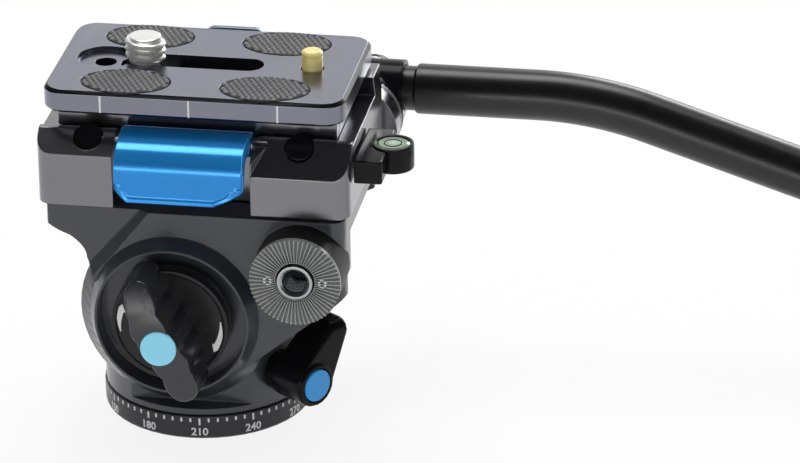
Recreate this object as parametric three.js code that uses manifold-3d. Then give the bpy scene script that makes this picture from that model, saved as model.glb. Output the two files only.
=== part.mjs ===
// A compact fluid video head, built as an assembly of its separate pieces.
//
// The part's frame: +Z is up, +X runs to the rear along the camera plate, -Y is the side of the tilt lock.
// The origin is the centre of the tripod face, on the pan axis. Lengths are in millimetres.
// Pieces are made by small functions from the sizes below, one function for each piece or family of pieces.

import * as THREE from "three";
import { mergeVertices } from "three/addons/utils/BufferGeometryUtils.js";
import { ConvexGeometry } from "three/addons/geometries/ConvexGeometry.js";
import Module from "manifold-3d";

const wasm = await Module();
wasm.setup();

// Gaps between neighbours, and how far a cutting shape runs past what it cuts.
const gap = { fit: 0.3, overrun: 1.5 };

// How many sides a round shape has, and how finely the curves of an outline are cut.
const sides = { large: 48, medium: 32, small: 20, tiny: 12 };
const curveSteps = { cheek: 18, pad: 12, slot: 6, corner: 3, tube: 8, path: 24 };

// The tilt axis runs along Y through this place.
const tilt = { x: -2.6, z: 31.7 };

const base = { radius: 24.7, height: 6.1, edge: 0.7, seatDepth: 3.4 };
const thrustWasher = { innerRadius: 13.3, outerRadius: 20.2, thickness: 1.4, sink: 0.6 };
const tripodBush = { boreRadius: 4.2, radius: 5.9, length: 9.3 };
const spindle = {
  flangeRadius: 11.1,
  flangeThickness: 2.8,
  radius: 7.2,
  shoulder: 12.2,
  studRadius: 4,
  top: 16.4,
};
const baseScrew = {
  count: 3,
  circle: 9.1,
  headRadius: 2.2,
  headHeight: 1.4,
  radius: 1.2,
  top: 5.2,
};

const housing = {
  radius: 24.4,
  bottom: 6.4,
  top: 21,
  edge: 2,
  boreRadius: 9.9,
  boreTop: 17.4,
  flatDistance: 19.7,
  ledge: 7.9,
  columnHalfLength: 15,
  columnHalfWidth: 16.4,
};
const barrel = { radius: 18, halfWidth: 17.6, boreRadius: 11.4, webHalfWidth: 2 };
const panBush = { bottom: 7.3, top: 12 };
const brakeDrum = { bottom: 12.6, top: 16.9, radius: 8.6 };

// The pan lock points sideways out of the housing, turned from +X towards -Y.
const panLock = {
  turnAngle: -36,
  z: 15,
  hubRadius: 5,
  hubStart: 24.9,
  hubEnd: 37.7,
  armStart: 27.6,
  armEnd: 36.9,
  armLength: 13.6,
  armAngle: 39,
  armRootRadius: 5.4,
  tipNear: 30,
  tipFar: 34.2,
  tipRadius: 2.6,
  tipHalfWidth: 2.1,
  capRadius: 3.9,
  capThickness: 1.1,
  screwRadius: 2.4,
  screwStart: 11.2,
  screwEnd: 33,
  shoeRadius: 2.7,
  shoeStart: 8.9,
};

const axle = { radius: 4, halfLength: 22.4, boreDepth: 9 };
const frictionDisc = { radius: 15, thickness: 1.8 };
const counterSpring = { radius: 8 };

// The tilt casting: two cheeks joined by a deck.
const cheek = { outer: 24, inner: 20, plateRadius: 20.1, footRadius: 22.9, footEdge: 0.8 };
const deck = {
  front: -32.7,
  rear: 37.8,
  bottom: 52.5,
  top: 57.5,
  cornerRadius: 3.6,
  flankWidth: 8,
  flankLength: 11,
  flankBottom: 43,
};
const cheekFront = { shoulderZ: 54, waistX: -23.3, waistZ: 44.6, hipX: -27.2, hipZ: 50, joinAngle: 159 };
const nearTail = { tangentAngle: -51.7, cornerZ: 38.5 };
const farTail = { tangentAngle: -42, cornerZ: 48.2 };
const frontStep = {
  depth: 1.7,
  topX: -7.9,
  lowX: -17.6,
  lowZ: 45.9,
  slopeTop: 2.4,
  slopeLow: 3.6,
  runOut: 9,
};
const lockBoss = { rim: 28, rimRadius: 18.2, recessRadius: 17.6, floor: 22.8, hubBoreRadius: 6.9 };
const sideCover = { radius: 16.5, thickness: 3.3, edge: 1.2, screwCircle: 12.4, screwCount: 3 };
const coverScrew = { headRadius: 1.9, headHeight: 1.1, radius: 0.9, inset: 3 };

const tiltKnob = {
  dialRadius: 13.8,
  dialFace: 29,
  dialBack: 25.4,
  hubRadius: 6.4,
  hubBack: 23.1,
  wingTurnAngle: 21.5,
  wingHalfLength: 16,
  wingHalfWidth: 5.3,
  wingTipHalfWidth: 3.9,
  wingCrest: 42,
  wingTipCrest: 38.4,
  wingRoot: 28.4,
  capRadius: 4.2,
  capThickness: 1.4,
  capProud: 0.5,
  screwRadius: 2.4,
  screwFront: 39.6,
  screwBack: 15,
  fluteRadius: 1,
  fluteCount: 3,
  fluteSpacing: 4.4,
};

// Toothed discs. The near one is bare, the far one carries the pan bar.
const rosette = {
  radius: 10.6,
  thickness: 1.5,
  toothHeight: 0.5,
  toothCount: 48,
  hubRadius: 4.6,
  boreRadius: 4.5,
  insertRadius: 4.2,
  insertBoreRadius: 3,
  insertProud: 0.2,
  insertLength: 8.2,
  screwOffset: 6.4,
  screwHeadRadius: 1.25,
  screwRadius: 0.7,
  screwLength: 3.4,
};
const nearRosette = { x: 27.7, z: 46.1, face: 32.7 };
const farRosette = { x: 31.4, z: 60.4, face: 31.7 };

// The clamp that holds the plate, on the deck of the casting.
const clamp = {
  front: -34.2,
  rear: 39,
  halfWidth: 24.5,
  bottom: 58.5,
  faceTop: 71.2,
  rearFaceTop: 68.2,
  slopeTop: 75.5,
  slopeInset: 5.5,
  channelFloor: 74.2,
  channelNear: 17.6,
  railTop: 79.7,
  railOuter: 19,
  cornerRadius: 3.7,
  footInset: 4,
};
const leverBay = { front: -16.1, rear: 16.2, depth: 9.5 };
const clampScrew = {
  frontX: -20,
  rearX: 22,
  headRadius: 2.7,
  headHeight: 2,
  headBottom: 52.9,
  radius: 1.5,
  top: 65,
};
const plug = { radius: 3.2, thickness: 1.2, frontX: -22.3, rearX: 27, frontInset: 4, rearInset: 4.6, proud: 0.1 };

const clampLever = {
  y: -18.6,
  z: 73.6,
  barrelRadius: 2.9,
  barrelOffset: 0.4,
  pinRadius: 1.2,
  pinReach: 3,
  front: -14.6,
  rear: 15.7,
  thickness: 2.3,
  rootY: -0.6,
  rootZ: 2,
  bulgeY: -10.4,
  bulgeZ: 3.1,
  hollowY: -8.4,
  hollowZ: -6.2,
  tipY: -10.6,
  tipZ: -11,
  steps: 9,
  frontCornerLength: 3,
  frontCornerHeight: 4.2,
  rearCornerLength: 7.2,
  rearCornerHeight: 4.6,
};
const catchLever = {
  y: 22.4,
  z: 70.6,
  barrelRadius: 2.3,
  pinRadius: 1,
  pinReach: 2.6,
  front: -4.4,
  rear: 11.6,
  thickness: 1.9,
  kneeY: 0.5,
  kneeZ: 8.6,
  topY: 2.6,
  topZ: 14.1,
  cornerRadius: 3.6,
  bayMargin: 0.7,
  bayBottom: 66.4,
  bayDepth: 5.6,
};

const plate = {
  front: -33.15,
  rear: 37.45,
  halfWidth: 21.2,
  bottom: 80,
  top: 85.7,
  edge: 0.8,
  cornerRadius: 5,
};
const dovetail = { bottom: 74.5, bottomHalf: 12.5, neckHalf: 10, front: -30.6, rear: 34.9 };
const plateSlot = { front: -18.6, rear: 15.1, halfWidth: 3.7 };
const slotChannel = { front: -21, rear: 21.2, halfWidth: 6.4, top: 81.6, cornerRadius: 0.8 };
const keyhole = { x: -22.3, radius: 6.7, depth: 1.2, pilotRadius: 2.5 };
const gripPad = { halfLength: 10.3, halfWidth: 7, x: 16.3, midX: 1.7, y: 13.7, proud: 0.4, sink: 0.6 };
const videoPin = {
  x: 26.6,
  radius: 2.45,
  proud: 4.5,
  flangeRadius: 3.4,
  flangeHeight: 1.3,
  pocketRadius: 3.8,
  pocketTop: 82,
  edge: 0.4,
};

const cameraScrew = {
  x: -12.7,
  threadRadius: 4.76,
  rootRadius: 3.95,
  pitch: 1.5875,
  turns: 3,
  threadBottom: 86.1,
  top: 91.7,
  tipRadius: 3.5,
  neckRadius: 3.3,
  headRadius: 5.8,
  headBottom: 75.2,
  headTop: 78.2,
  toolSlotHalf: 0.7,
  toolSlotDepth: 1.4,
};
const slider = { half: 6, bottom: 78.5, top: 81.3 };

// The level sits on the rear face of the clamp.
const level = {
  rear: 45.8,
  near: -18.4,
  far: 1.2,
  bottom: 65.3,
  top: 71.4,
  cupX: 46.6,
  cupY: -7.5,
  cupRadius: 4.9,
  vialRadius: 3.9,
  vialDepth: 3.7,
  edge: 0.6,
};

// The bar leaves the lug above the rosette's axis.
const panBar = {
  y: 40,
  z: 64.9,
  lugRadius: 10.2,
  lugNear: 32,
  lugFar: 47,
  lugEdge: 1.8,
  collarRadius: 6.75,
  collarEnd: 41.3,
  neckRadius: 5.35,
  neckStart: 36,
  neckEnd: 44.8,
  tubeRadius: 6.05,
  bendStart: 73,
  bendRadius: 88,
  bendAngle: 18.4,
  tailLength: 142,
};
const grip = { length: 96, radius: 12, waistRadius: 10.6, edge: 2.4, capThickness: 5 };

// The lever that tightens the pan bar's lug, along the far rosette's axis.
const barLever = {
  hubRadius: 6.4,
  hubLength: 8,
  armStart: 1.2,
  armEnd: 7.4,
  armLength: 17,
  armAngle: 176,
  armRootRadius: 6,
  tipNear: 4,
  tipFar: 5.4,
  tipRadius: 2.6,
  tipHalfWidth: 2.8,
  boltRadius: 2.9,
  boltInset: 0,
};

const finishes = {
  blackAnodised: { color: 0x1d1e22, roughness: 0.35, metalness: 0.55 },
  blackSatin: { color: 0x232428, roughness: 0.5, metalness: 0.3 },
  blackPlastic: { color: 0x141416, roughness: 0.28, metalness: 0 },
  greyPlate: { color: 0x8e8f99, roughness: 0.3, metalness: 0.5 },
  blueAnodised: { color: 0x1f7fd0, roughness: 0.3, metalness: 0.6 },
  blueCap: { color: 0x4ea6dc, roughness: 0.45, metalness: 0 },
  paleBlue: { color: 0x9fb8c8, roughness: 0.35, metalness: 0.4 },
  rubber: { color: 0x222326, roughness: 0.9, metalness: 0 },
  steel: { color: 0xb9bcc0, roughness: 0.3, metalness: 1 },
  brass: { color: 0xc9a13c, roughness: 0.25, metalness: 1 },
  bronze: { color: 0x9c7440, roughness: 0.45, metalness: 0.9 },
  whitePlastic: { color: 0xe4e4df, roughness: 0.6, metalness: 0 },
  vialGreen: { color: 0x9fd86a, roughness: 0.1, metalness: 0 },
};

const radians = (degrees) => THREE.MathUtils.degToRad(degrees);

// The directions that a shape's own two axes, and its depth, take in the part's frame.
const frames = {
  x: [new THREE.Vector3(0, 1, 0), new THREE.Vector3(0, 0, 1), new THREE.Vector3(1, 0, 0)],
  y: [new THREE.Vector3(1, 0, 0), new THREE.Vector3(0, 0, 1), new THREE.Vector3(0, 1, 0)],
  z: [new THREE.Vector3(1, 0, 0), new THREE.Vector3(0, 1, 0), new THREE.Vector3(0, 0, 1)],
};

// A closed three.js geometry as a solid whose faces point outwards.
function solidOf(geometry) {
  const bare = geometry.clone();
  bare.deleteAttribute("normal");
  bare.deleteAttribute("uv");
  const merged = mergeVertices(bare);
  const positions = merged.getAttribute("position").array;
  const build = (corners) =>
    new wasm.Manifold(new wasm.Mesh({ numProp: 3, vertProperties: positions, triVerts: corners }));
  const corners = new Uint32Array(merged.index.array);
  const solid = build(corners);
  return solid.volume() < 0 ? build(corners.reverse()) : solid;
}

const join = (first, ...others) => others.reduce((all, next) => all.add(next), first);
const cut = (body, ...tools) => tools.reduce((left, tool) => left.subtract(tool), body);
const common = (first, ...others) => others.reduce((all, next) => all.intersect(next), first);

// A box between two corners.
function box(low, high) {
  const size = high.map((value, axis) => value - low[axis]);
  const middle = high.map((value, axis) => (value + low[axis]) / 2);
  return solidOf(new THREE.BoxGeometry(...size).translate(...middle));
}

// A round bar along an axis; at holds the other two coordinates.
function bar(axis, radius, low, high, at = [0, 0], count = sides.medium) {
  return turned(axis, [[0, low], [radius, low], [radius, high], [0, high]], at, count);
}

// A washer or tube along an axis.
function ring(axis, inner, outer, low, high, at = [0, 0], count = sides.medium) {
  const profile = [[inner, low], [outer, low], [outer, high], [inner, high], [inner, low]];
  return turned(axis, profile, at, count);
}

// A profile of radius and height turned about an axis.
function turned(axis, profile, at = [0, 0], count = sides.medium) {
  const points = profile.map(([radius, height]) => new THREE.Vector2(radius, height));
  const lathe = new THREE.LatheGeometry(points, count);
  const [first, second, along] = frames[axis];
  lathe.applyMatrix4(new THREE.Matrix4().makeBasis(first, along, second));
  const place = new THREE.Vector3().addScaledVector(first, at[0]).addScaledVector(second, at[1]);
  return solidOf(lathe.translate(place.x, place.y, place.z));
}

// A flat outline extruded along an axis. The outline is a THREE.Shape or a list of points.
function prism(axis, outline, low, high, count = curveSteps.corner) {
  const shape = Array.isArray(outline)
    ? new THREE.Shape(outline.map(([u, v]) => new THREE.Vector2(u, v)))
    : outline;
  const made = new THREE.ExtrudeGeometry(shape, {
    depth: high - low,
    bevelEnabled: false,
    curveSegments: count,
  });
  made.translate(0, 0, low);
  made.applyMatrix4(new THREE.Matrix4().makeBasis(...frames[axis]));
  return solidOf(made);
}

// The smallest convex solid around some points.
function hull(points) {
  return solidOf(new ConvexGeometry(points.map((point) => new THREE.Vector3(...point))));
}

// A rectangle with round corners.
function roundedRectangle(left, right, low, high, radius) {
  const shape = new THREE.Shape();
  shape.moveTo(left + radius, low);
  shape.absarc(right - radius, low + radius, radius, -Math.PI / 2, 0, false);
  shape.absarc(right - radius, high - radius, radius, 0, Math.PI / 2, false);
  shape.absarc(left + radius, high - radius, radius, Math.PI / 2, Math.PI, false);
  shape.absarc(left + radius, low + radius, radius, Math.PI, 1.5 * Math.PI, false);
  return shape;
}

// A slot with round ends.
function roundedSlot(left, right, halfWidth) {
  return roundedRectangle(left, right, -halfWidth, halfWidth, halfWidth);
}

// An ellipse about the origin.
function ellipse(halfLength, halfWidth) {
  const shape = new THREE.Shape();
  shape.absellipse(0, 0, halfLength, halfWidth, 0, 2 * Math.PI, false, 0);
  return shape;
}

// Places evenly spread round a circle.
function circlePlaces(count, radius, centre = [0, 0], startAngle = 90) {
  return Array.from({ length: count }, (_, index) => {
    const angle = radians(startAngle) + (2 * Math.PI * index) / count;
    return [centre[0] + radius * Math.cos(angle), centre[1] + radius * Math.sin(angle)];
  });
}

// A ribbon of even thickness along a curve, as an outline.
function ribbonOutline(curve, thickness, steps) {
  const left = [];
  const right = [];
  for (let step = 0; step <= steps; step += 1) {
    const point = curve.getPoint(step / steps);
    const along = curve.getTangent(step / steps);
    const across = new THREE.Vector2(-along.y, along.x).multiplyScalar(thickness / 2);
    left.push([point.x + across.x, point.y + across.y]);
    right.unshift([point.x - across.x, point.y - across.y]);
  }
  return [...left, ...right];
}

// Adds a solid to a group as a named mesh.
function addPiece(group, name, solid, finish) {
  const mesh = solid.getMesh();
  const geometry = new THREE.BufferGeometry();
  geometry.setAttribute("position", new THREE.BufferAttribute(mesh.vertProperties, mesh.numProp));
  geometry.setIndex(new THREE.BufferAttribute(mesh.triVerts, 1));
  geometry.computeVertexNormals();
  const piece = new THREE.Mesh(geometry, new THREE.MeshStandardMaterial(finishes[finish]));
  piece.name = name;
  group.add(piece);
  return piece;
}

// A group with its own place, inside another.
function subAssembly(parent, x = 0, y = 0, z = 0) {
  const group = new THREE.Group();
  group.position.set(x, y, z);
  parent.add(group);
  return group;
}

// Foot and pan axis

const baseSeat = base.height - base.seatDepth;
const spindleBore = tripodBush.radius + gap.fit;
const washerGroove = { inner: thrustWasher.innerRadius - gap.fit, outer: thrustWasher.outerRadius + gap.fit };
const washerBottom = base.height - thrustWasher.sink;

function baseDrum() {
  const grooveFloor = washerBottom - gap.fit;
  const seatRadius = spindle.flangeRadius + gap.fit;
  const disc = turned("z", [
    [spindleBore, 0],
    [base.radius - base.edge, 0],
    [base.radius, base.edge],
    [base.radius, base.height],
    [washerGroove.outer, base.height],
    [washerGroove.outer, grooveFloor],
    [washerGroove.inner, grooveFloor],
    [washerGroove.inner, base.height],
    [seatRadius, base.height],
    [seatRadius, baseSeat],
    [spindleBore, baseSeat],
    [spindleBore, 0],
  ], [0, 0], sides.large);
  const holes = circlePlaces(baseScrew.count, baseScrew.circle).flatMap((at) => [
    bar("z", baseScrew.headRadius + gap.fit, -gap.overrun, baseScrew.headHeight + 2 * gap.fit, at, sides.tiny),
    bar("z", baseScrew.radius + gap.fit, 0, base.height, at, sides.tiny),
  ]);
  return cut(disc, ...holes);
}

function panSpindle() {
  const flangeBottom = baseSeat + gap.fit;
  const flangeTop = flangeBottom + spindle.flangeThickness;
  const boreTop = tripodBush.length + 2 * gap.fit;
  const post = turned("z", [
    [0, boreTop],
    [spindleBore, boreTop],
    [spindleBore, flangeBottom],
    [spindle.flangeRadius, flangeBottom],
    [spindle.flangeRadius, flangeTop],
    [spindle.radius, flangeTop],
    [spindle.radius, spindle.shoulder],
    [spindle.studRadius, spindle.shoulder],
    [spindle.studRadius, spindle.top],
    [0, spindle.top],
  ]);
  const holes = circlePlaces(baseScrew.count, baseScrew.circle).map((at) =>
    bar("z", baseScrew.radius + gap.fit, 0, flangeTop + gap.overrun, at, sides.tiny));
  return cut(post, ...holes);
}

function baseScrewSolid(at) {
  const headTop = baseScrew.headHeight + gap.fit;
  return turned("z", [
    [0, gap.fit],
    [baseScrew.headRadius, gap.fit],
    [baseScrew.headRadius, headTop],
    [baseScrew.radius, headTop],
    [baseScrew.radius, baseScrew.top],
    [0, baseScrew.top],
  ], at, sides.tiny);
}

function addBase(head) {
  const group = subAssembly(head);
  addPiece(group, "base_drum", baseDrum(), "blackSatin");
  addPiece(group, "pan_spindle", panSpindle(), "steel");
  const bush = ring("z", tripodBush.boreRadius, tripodBush.radius, gap.fit, gap.fit + tripodBush.length);
  addPiece(group, "tripod_thread_bush", bush, "steel");
  const washer = ring("z", thrustWasher.innerRadius, thrustWasher.outerRadius,
    washerBottom, washerBottom + thrustWasher.thickness);
  addPiece(group, "pan_thrust_washer", washer, "whitePlastic");
  const drum = ring("z", spindle.studRadius + gap.fit, brakeDrum.radius, brakeDrum.bottom, brakeDrum.top);
  addPiece(group, "pan_brake_drum", drum, "steel");
  circlePlaces(baseScrew.count, baseScrew.circle).forEach((at, index) => {
    addPiece(group, "base_screw_" + (index + 1), baseScrewSolid(at), "steel");
  });
}

// Pan housing and its lock

// A bar along the pan lock's axis, from one distance off the pan axis to another.
function panLockBar(radius, start, end, count = sides.small) {
  return bar("x", radius, start, end, [0, 0], count);
}

function panHousing() {
  const drum = turned("z", [
    [0, housing.bottom],
    [housing.radius, housing.bottom],
    [housing.radius, housing.top - housing.edge],
    [housing.radius - housing.edge, housing.top],
    [0, housing.top],
  ], [0, 0], sides.large);
  const reach = housing.radius + gap.overrun;
  const flat = (side) => {
    const edges = [side * housing.flatDistance, side * reach].sort((a, b) => a - b);
    return box([-reach, edges[0], housing.ledge], [reach, edges[1], housing.top + gap.overrun]);
  };
  const column = box(
    [tilt.x - housing.columnHalfLength, -housing.columnHalfWidth, housing.bottom + housing.edge],
    [tilt.x + housing.columnHalfLength, housing.columnHalfWidth, tilt.z],
  );
  const tiltBarrel = bar("y", barrel.radius, -barrel.halfWidth, barrel.halfWidth, [tilt.x, tilt.z], sides.large);
  const barrelBores = [-1, 1].map((side) => {
    const ends = [side * barrel.webHalfWidth, side * (barrel.halfWidth + gap.overrun)].sort((a, b) => a - b);
    return bar("y", barrel.boreRadius, ends[0], ends[1], [tilt.x, tilt.z]);
  });
  const axleBore = bar("y", axle.radius + gap.fit, -barrel.halfWidth, barrel.halfWidth, [tilt.x, tilt.z]);
  const panBore = bar("z", housing.boreRadius, housing.bottom - gap.overrun, housing.boreTop);
  const discRooms = [-1, 1].map((side) => {
    const ends = [side * barrel.halfWidth, side * reach].sort((a, b) => a - b);
    return bar("y", frictionDisc.radius + gap.fit, ends[0], ends[1], [tilt.x, tilt.z]);
  });
  const washerRoom = ring("z", washerGroove.inner, washerGroove.outer, housing.bottom - gap.overrun,
    washerBottom + thrustWasher.thickness + gap.fit);
  const lockTurn = new THREE.Matrix4()
    .makeTranslation(0, 0, panLock.z)
    .multiply(new THREE.Matrix4().makeRotationZ(radians(panLock.turnAngle)));
  const lockBores = join(
    panLockBar(panLock.shoeRadius + gap.fit, 0, panLock.screwStart + gap.overrun),
    panLockBar(panLock.screwRadius + gap.fit, 0, housing.radius + gap.overrun),
  ).transform(lockTurn.elements);
  const body = join(cut(drum, flat(-1), flat(1)), column, tiltBarrel);
  return cut(body, ...discRooms, ...barrelBores, axleBore, panBore, washerRoom, lockBores);
}

// A lever's arm along X of its own frame: the hull of a disc at the root and a rounded blade at the tip.
function leverArm(sizes) {
  const tip = [
    sizes.armLength * Math.sin(radians(sizes.armAngle)),
    sizes.armLength * Math.cos(radians(sizes.armAngle)),
  ];
  const root = circlePlaces(sides.small, sizes.armRootRadius).flatMap(([y, z]) =>
    [sizes.armStart, sizes.armEnd].map((x) => [x, y, z]));
  const blade = [sizes.tipNear, sizes.tipFar].flatMap((centre) =>
    circlePlaces(sides.tiny, sizes.tipRadius, [centre, tip[1]]).flatMap(([x, z]) =>
      [-1, 1].map((side) => [x, tip[0] + side * sizes.tipHalfWidth, z])));
  return hull([...root, ...blade]);
}

function panLockLever() {
  const hub = panLockBar(panLock.hubRadius, panLock.hubStart, panLock.hubEnd);
  const capRoom = panLockBar(panLock.capRadius + gap.fit, panLock.hubEnd - panLock.capThickness,
    panLock.hubEnd + gap.overrun);
  const screwBore = panLockBar(panLock.screwRadius + gap.fit, 0, panLock.screwEnd + gap.fit);
  return cut(join(hub, leverArm(panLock)), capRoom, screwBore);
}

function addPanBody(head) {
  const group = subAssembly(head);
  addPiece(group, "pan_housing", panHousing(), "blackSatin");
  const bush = ring("z", spindle.radius + gap.fit, housing.boreRadius - gap.fit, panBush.bottom, panBush.top);
  addPiece(group, "pan_bearing_bush", bush, "bronze");

  const lock = subAssembly(group, 0, 0, panLock.z);
  lock.rotation.z = radians(panLock.turnAngle);
  const shoeEnd = panLock.screwStart - gap.fit;
  addPiece(lock, "pan_brake_shoe", panLockBar(panLock.shoeRadius, panLock.shoeStart, shoeEnd), "bronze");
  addPiece(lock, "pan_lock_screw", panLockBar(panLock.screwRadius, panLock.screwStart, panLock.screwEnd), "steel");
  addPiece(lock, "pan_lock_lever", panLockLever(), "blackPlastic");
  const capStart = panLock.hubEnd - panLock.capThickness + gap.fit;
  const cap = turned("x", [
    [0, capStart],
    [panLock.capRadius, capStart],
    [panLock.capRadius, panLock.hubEnd],
    [panLock.capRadius - gap.fit, panLock.hubEnd + gap.fit],
    [0, panLock.hubEnd + gap.fit],
  ], [0, 0], sides.small);
  addPiece(lock, "pan_lock_cap", cap, "blueCap");

  const tiltUnit = subAssembly(group, tilt.x, 0, tilt.z);
  const screwEntry = bar("y", tiltKnob.screwRadius + gap.fit, -axle.halfLength - gap.overrun,
    -axle.halfLength + axle.boreDepth, [0, 0], sides.small);
  addPiece(tiltUnit, "tilt_axle", cut(bar("y", axle.radius, -axle.halfLength, axle.halfLength), screwEntry), "steel");
  const inner = axle.radius + gap.fit;
  const start = barrel.webHalfWidth + gap.fit;
  const end = barrel.halfWidth - gap.fit;
  const cartridge = ring("y", inner, barrel.boreRadius - gap.fit, start, end);
  addPiece(tiltUnit, "tilt_drag_cartridge", cartridge, "blackAnodised");
  addPiece(tiltUnit, "counterbalance_spring", ring("y", inner, counterSpring.radius, -end, -start), "steel");
  const discStart = barrel.halfWidth + gap.fit;
  const discEnd = discStart + frictionDisc.thickness;
  addPiece(tiltUnit, "tilt_friction_disc_near", ring("y", inner, frictionDisc.radius, -discEnd, -discStart), "bronze");
  addPiece(tiltUnit, "tilt_friction_disc_far", ring("y", inner, frictionDisc.radius, discStart, discEnd), "bronze");
}

// Tilt casting

// The outline of a cheek: deck, front taper, round foot about the tilt axis, and straight tail.
function cheekOutline(tail) {
  const shape = new THREE.Shape();
  shape.moveTo(deck.front, deck.top);
  shape.lineTo(deck.front, cheekFront.shoulderZ);
  shape.quadraticCurveTo(deck.front, cheekFront.hipZ + (cheekFront.shoulderZ - cheekFront.hipZ) / 2,
    cheekFront.hipX, cheekFront.hipZ);
  const join = radians(cheekFront.joinAngle);
  shape.quadraticCurveTo(cheekFront.waistX, (cheekFront.hipZ + cheekFront.waistZ) / 2,
    cheekFront.waistX, cheekFront.waistZ);
  shape.lineTo(tilt.x + cheek.plateRadius * Math.cos(join), tilt.z + cheek.plateRadius * Math.sin(join));
  shape.absarc(tilt.x, tilt.z, cheek.plateRadius, join, 2 * Math.PI + radians(tail.tangentAngle), false);
  shape.lineTo(deck.rear, tail.cornerZ);
  shape.lineTo(deck.rear, deck.top);
  return shape;
}

// The round foot of a cheek, wider at its inner face.
function cheekFoot(side) {
  const profile = [
    [0, side * cheek.inner],
    [cheek.footRadius, side * cheek.inner],
    [cheek.footRadius, side * (cheek.inner + cheek.footEdge)],
    [cheek.plateRadius, side * cheek.outer],
    [0, side * cheek.outer],
  ];
  return turned("y", profile, [tilt.x, tilt.z], sides.large);
}

// What is cut away so that the front of the near cheek lies deeper, behind a slope.
function frontStepTool() {
  const outer = -cheek.outer - gap.overrun;
  const floor = -cheek.outer + frontStep.depth;
  const risePerLength = (deck.top - frontStep.lowZ) / (frontStep.topX - frontStep.lowX);
  const endX = frontStep.lowX - frontStep.runOut;
  const endZ = frontStep.lowZ - frontStep.runOut * risePerLength;
  const aboveZ = deck.top + gap.overrun;
  const aboveX = frontStep.topX + gap.overrun / risePerLength;
  const farX = deck.front - gap.overrun;
  const atFace = [[aboveX, aboveZ], [endX, endZ], [farX, endZ], [farX, aboveZ]];
  const atFloor = [
    [aboveX - frontStep.slopeTop, aboveZ],
    [endX - frontStep.slopeLow, endZ],
    [farX, endZ],
    [farX, aboveZ],
  ];
  const spread = gap.overrun / frontStep.depth;
  const beyondFace = atFace.map(([x, z], index) => [x + (x - atFloor[index][0]) * spread, z]);
  return hull([
    ...beyondFace.map(([x, z]) => [x, outer, z]),
    ...atFloor.map(([x, z]) => [x, floor, z]),
  ]);
}

function tiltCradle() {
  const nearCheek = prism("y", cheekOutline(nearTail), -cheek.outer, -cheek.inner, curveSteps.cheek);
  const farCheek = prism("y", cheekOutline(farTail), cheek.inner, cheek.outer, curveSteps.cheek);
  const plan = roundedRectangle(deck.front, deck.rear, -cheek.outer, cheek.outer, deck.cornerRadius);
  const deckBlock = prism("z", plan, deck.bottom, deck.top);
  const flanks = [-1, 1].map((side) => {
    const across = [side * (cheek.outer - deck.flankWidth), side * cheek.outer].sort((a, b) => a - b);
    return box([deck.rear - deck.flankLength, across[0], deck.flankBottom], [deck.rear, across[1], deck.top]);
  });
  const farFlankTrim = prism("y", [
    [deck.rear + gap.overrun, farTail.cornerZ + gap.overrun],
    [deck.rear + gap.overrun, deck.flankBottom - gap.overrun],
    [deck.rear - deck.flankLength - gap.overrun, deck.flankBottom - gap.overrun],
    [deck.rear - deck.flankLength - gap.overrun, deck.flankBottom],
  ], 0, cheek.outer + gap.overrun);
  const bounds = prism("z", plan, 0, deck.top);
  const core = common(join(cut(join(nearCheek, farCheek, flanks[1]), farFlankTrim), flanks[0], deckBlock), bounds);
  const boss = turned("y", [
    [0, -cheek.inner],
    [cheek.plateRadius, -cheek.inner],
    [cheek.plateRadius, -cheek.outer],
    [lockBoss.rimRadius, -lockBoss.rim],
    [0, -lockBoss.rim],
  ], [tilt.x, tilt.z], sides.large);
  const recess = bar("y", lockBoss.recessRadius, -lockBoss.rim - gap.overrun, -lockBoss.floor,
    [tilt.x, tilt.z], sides.large);
  const hubBore = bar("y", lockBoss.hubBoreRadius, -cheek.outer - gap.overrun, cheek.outer + gap.overrun,
    [tilt.x, tilt.z], sides.small);
  const rosetteBoss = bar("y", rosette.radius, -nearRosette.face + rosette.thickness + gap.fit, -cheek.inner,
    [nearRosette.x, nearRosette.z]);
  const insertBore = bar("y", rosette.boreRadius, -nearRosette.face - gap.overrun,
    -nearRosette.face + rosette.insertLength + gap.fit, [nearRosette.x, nearRosette.z], sides.small);
  const screwHoles = clampScrewPlaces().flatMap((x) => [
    bar("z", clampScrew.headRadius + gap.fit, deck.bottom - gap.overrun,
      clampScrew.headBottom + clampScrew.headHeight + gap.fit, [x, 0], sides.tiny),
    bar("z", clampScrew.radius + gap.fit, deck.bottom, deck.top + gap.overrun, [x, 0], sides.tiny),
  ]);
  const stepped = cut(core, frontStepTool());
  return cut(
    join(stepped, cheekFoot(-1), cheekFoot(1), boss, rosetteBoss),
    recess, hubBore, insertBore,
    ...rosetteScrewHoles(nearRosette, -1),
    ...coverScrewPlaces().map((at) => bar("y", coverScrew.radius + gap.fit, cheek.outer - coverScrew.inset,
      cheek.outer + gap.overrun, at, sides.tiny)),
    ...screwHoles,
  );
}

const clampScrewPlaces = () => [clampScrew.frontX, clampScrew.rearX];
const coverScrewPlaces = () => circlePlaces(sideCover.screwCount, sideCover.screwCircle, [tilt.x, tilt.z]);

function sideCoverSolid() {
  const start = cheek.outer + gap.fit;
  const end = start + sideCover.thickness;
  const cover = turned("y", [
    [0, start],
    [sideCover.radius, start],
    [sideCover.radius, end - sideCover.edge],
    [sideCover.radius - sideCover.edge, end],
    [0, end],
  ], [tilt.x, tilt.z]);
  const holes = coverScrewPlaces().flatMap((at) => [
    bar("y", coverScrew.headRadius + gap.fit, end - coverScrew.headHeight - gap.fit, end + gap.overrun, at, sides.tiny),
    bar("y", coverScrew.radius + gap.fit, start - gap.overrun, end, at, sides.tiny),
  ]);
  return cut(cover, ...holes);
}

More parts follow.
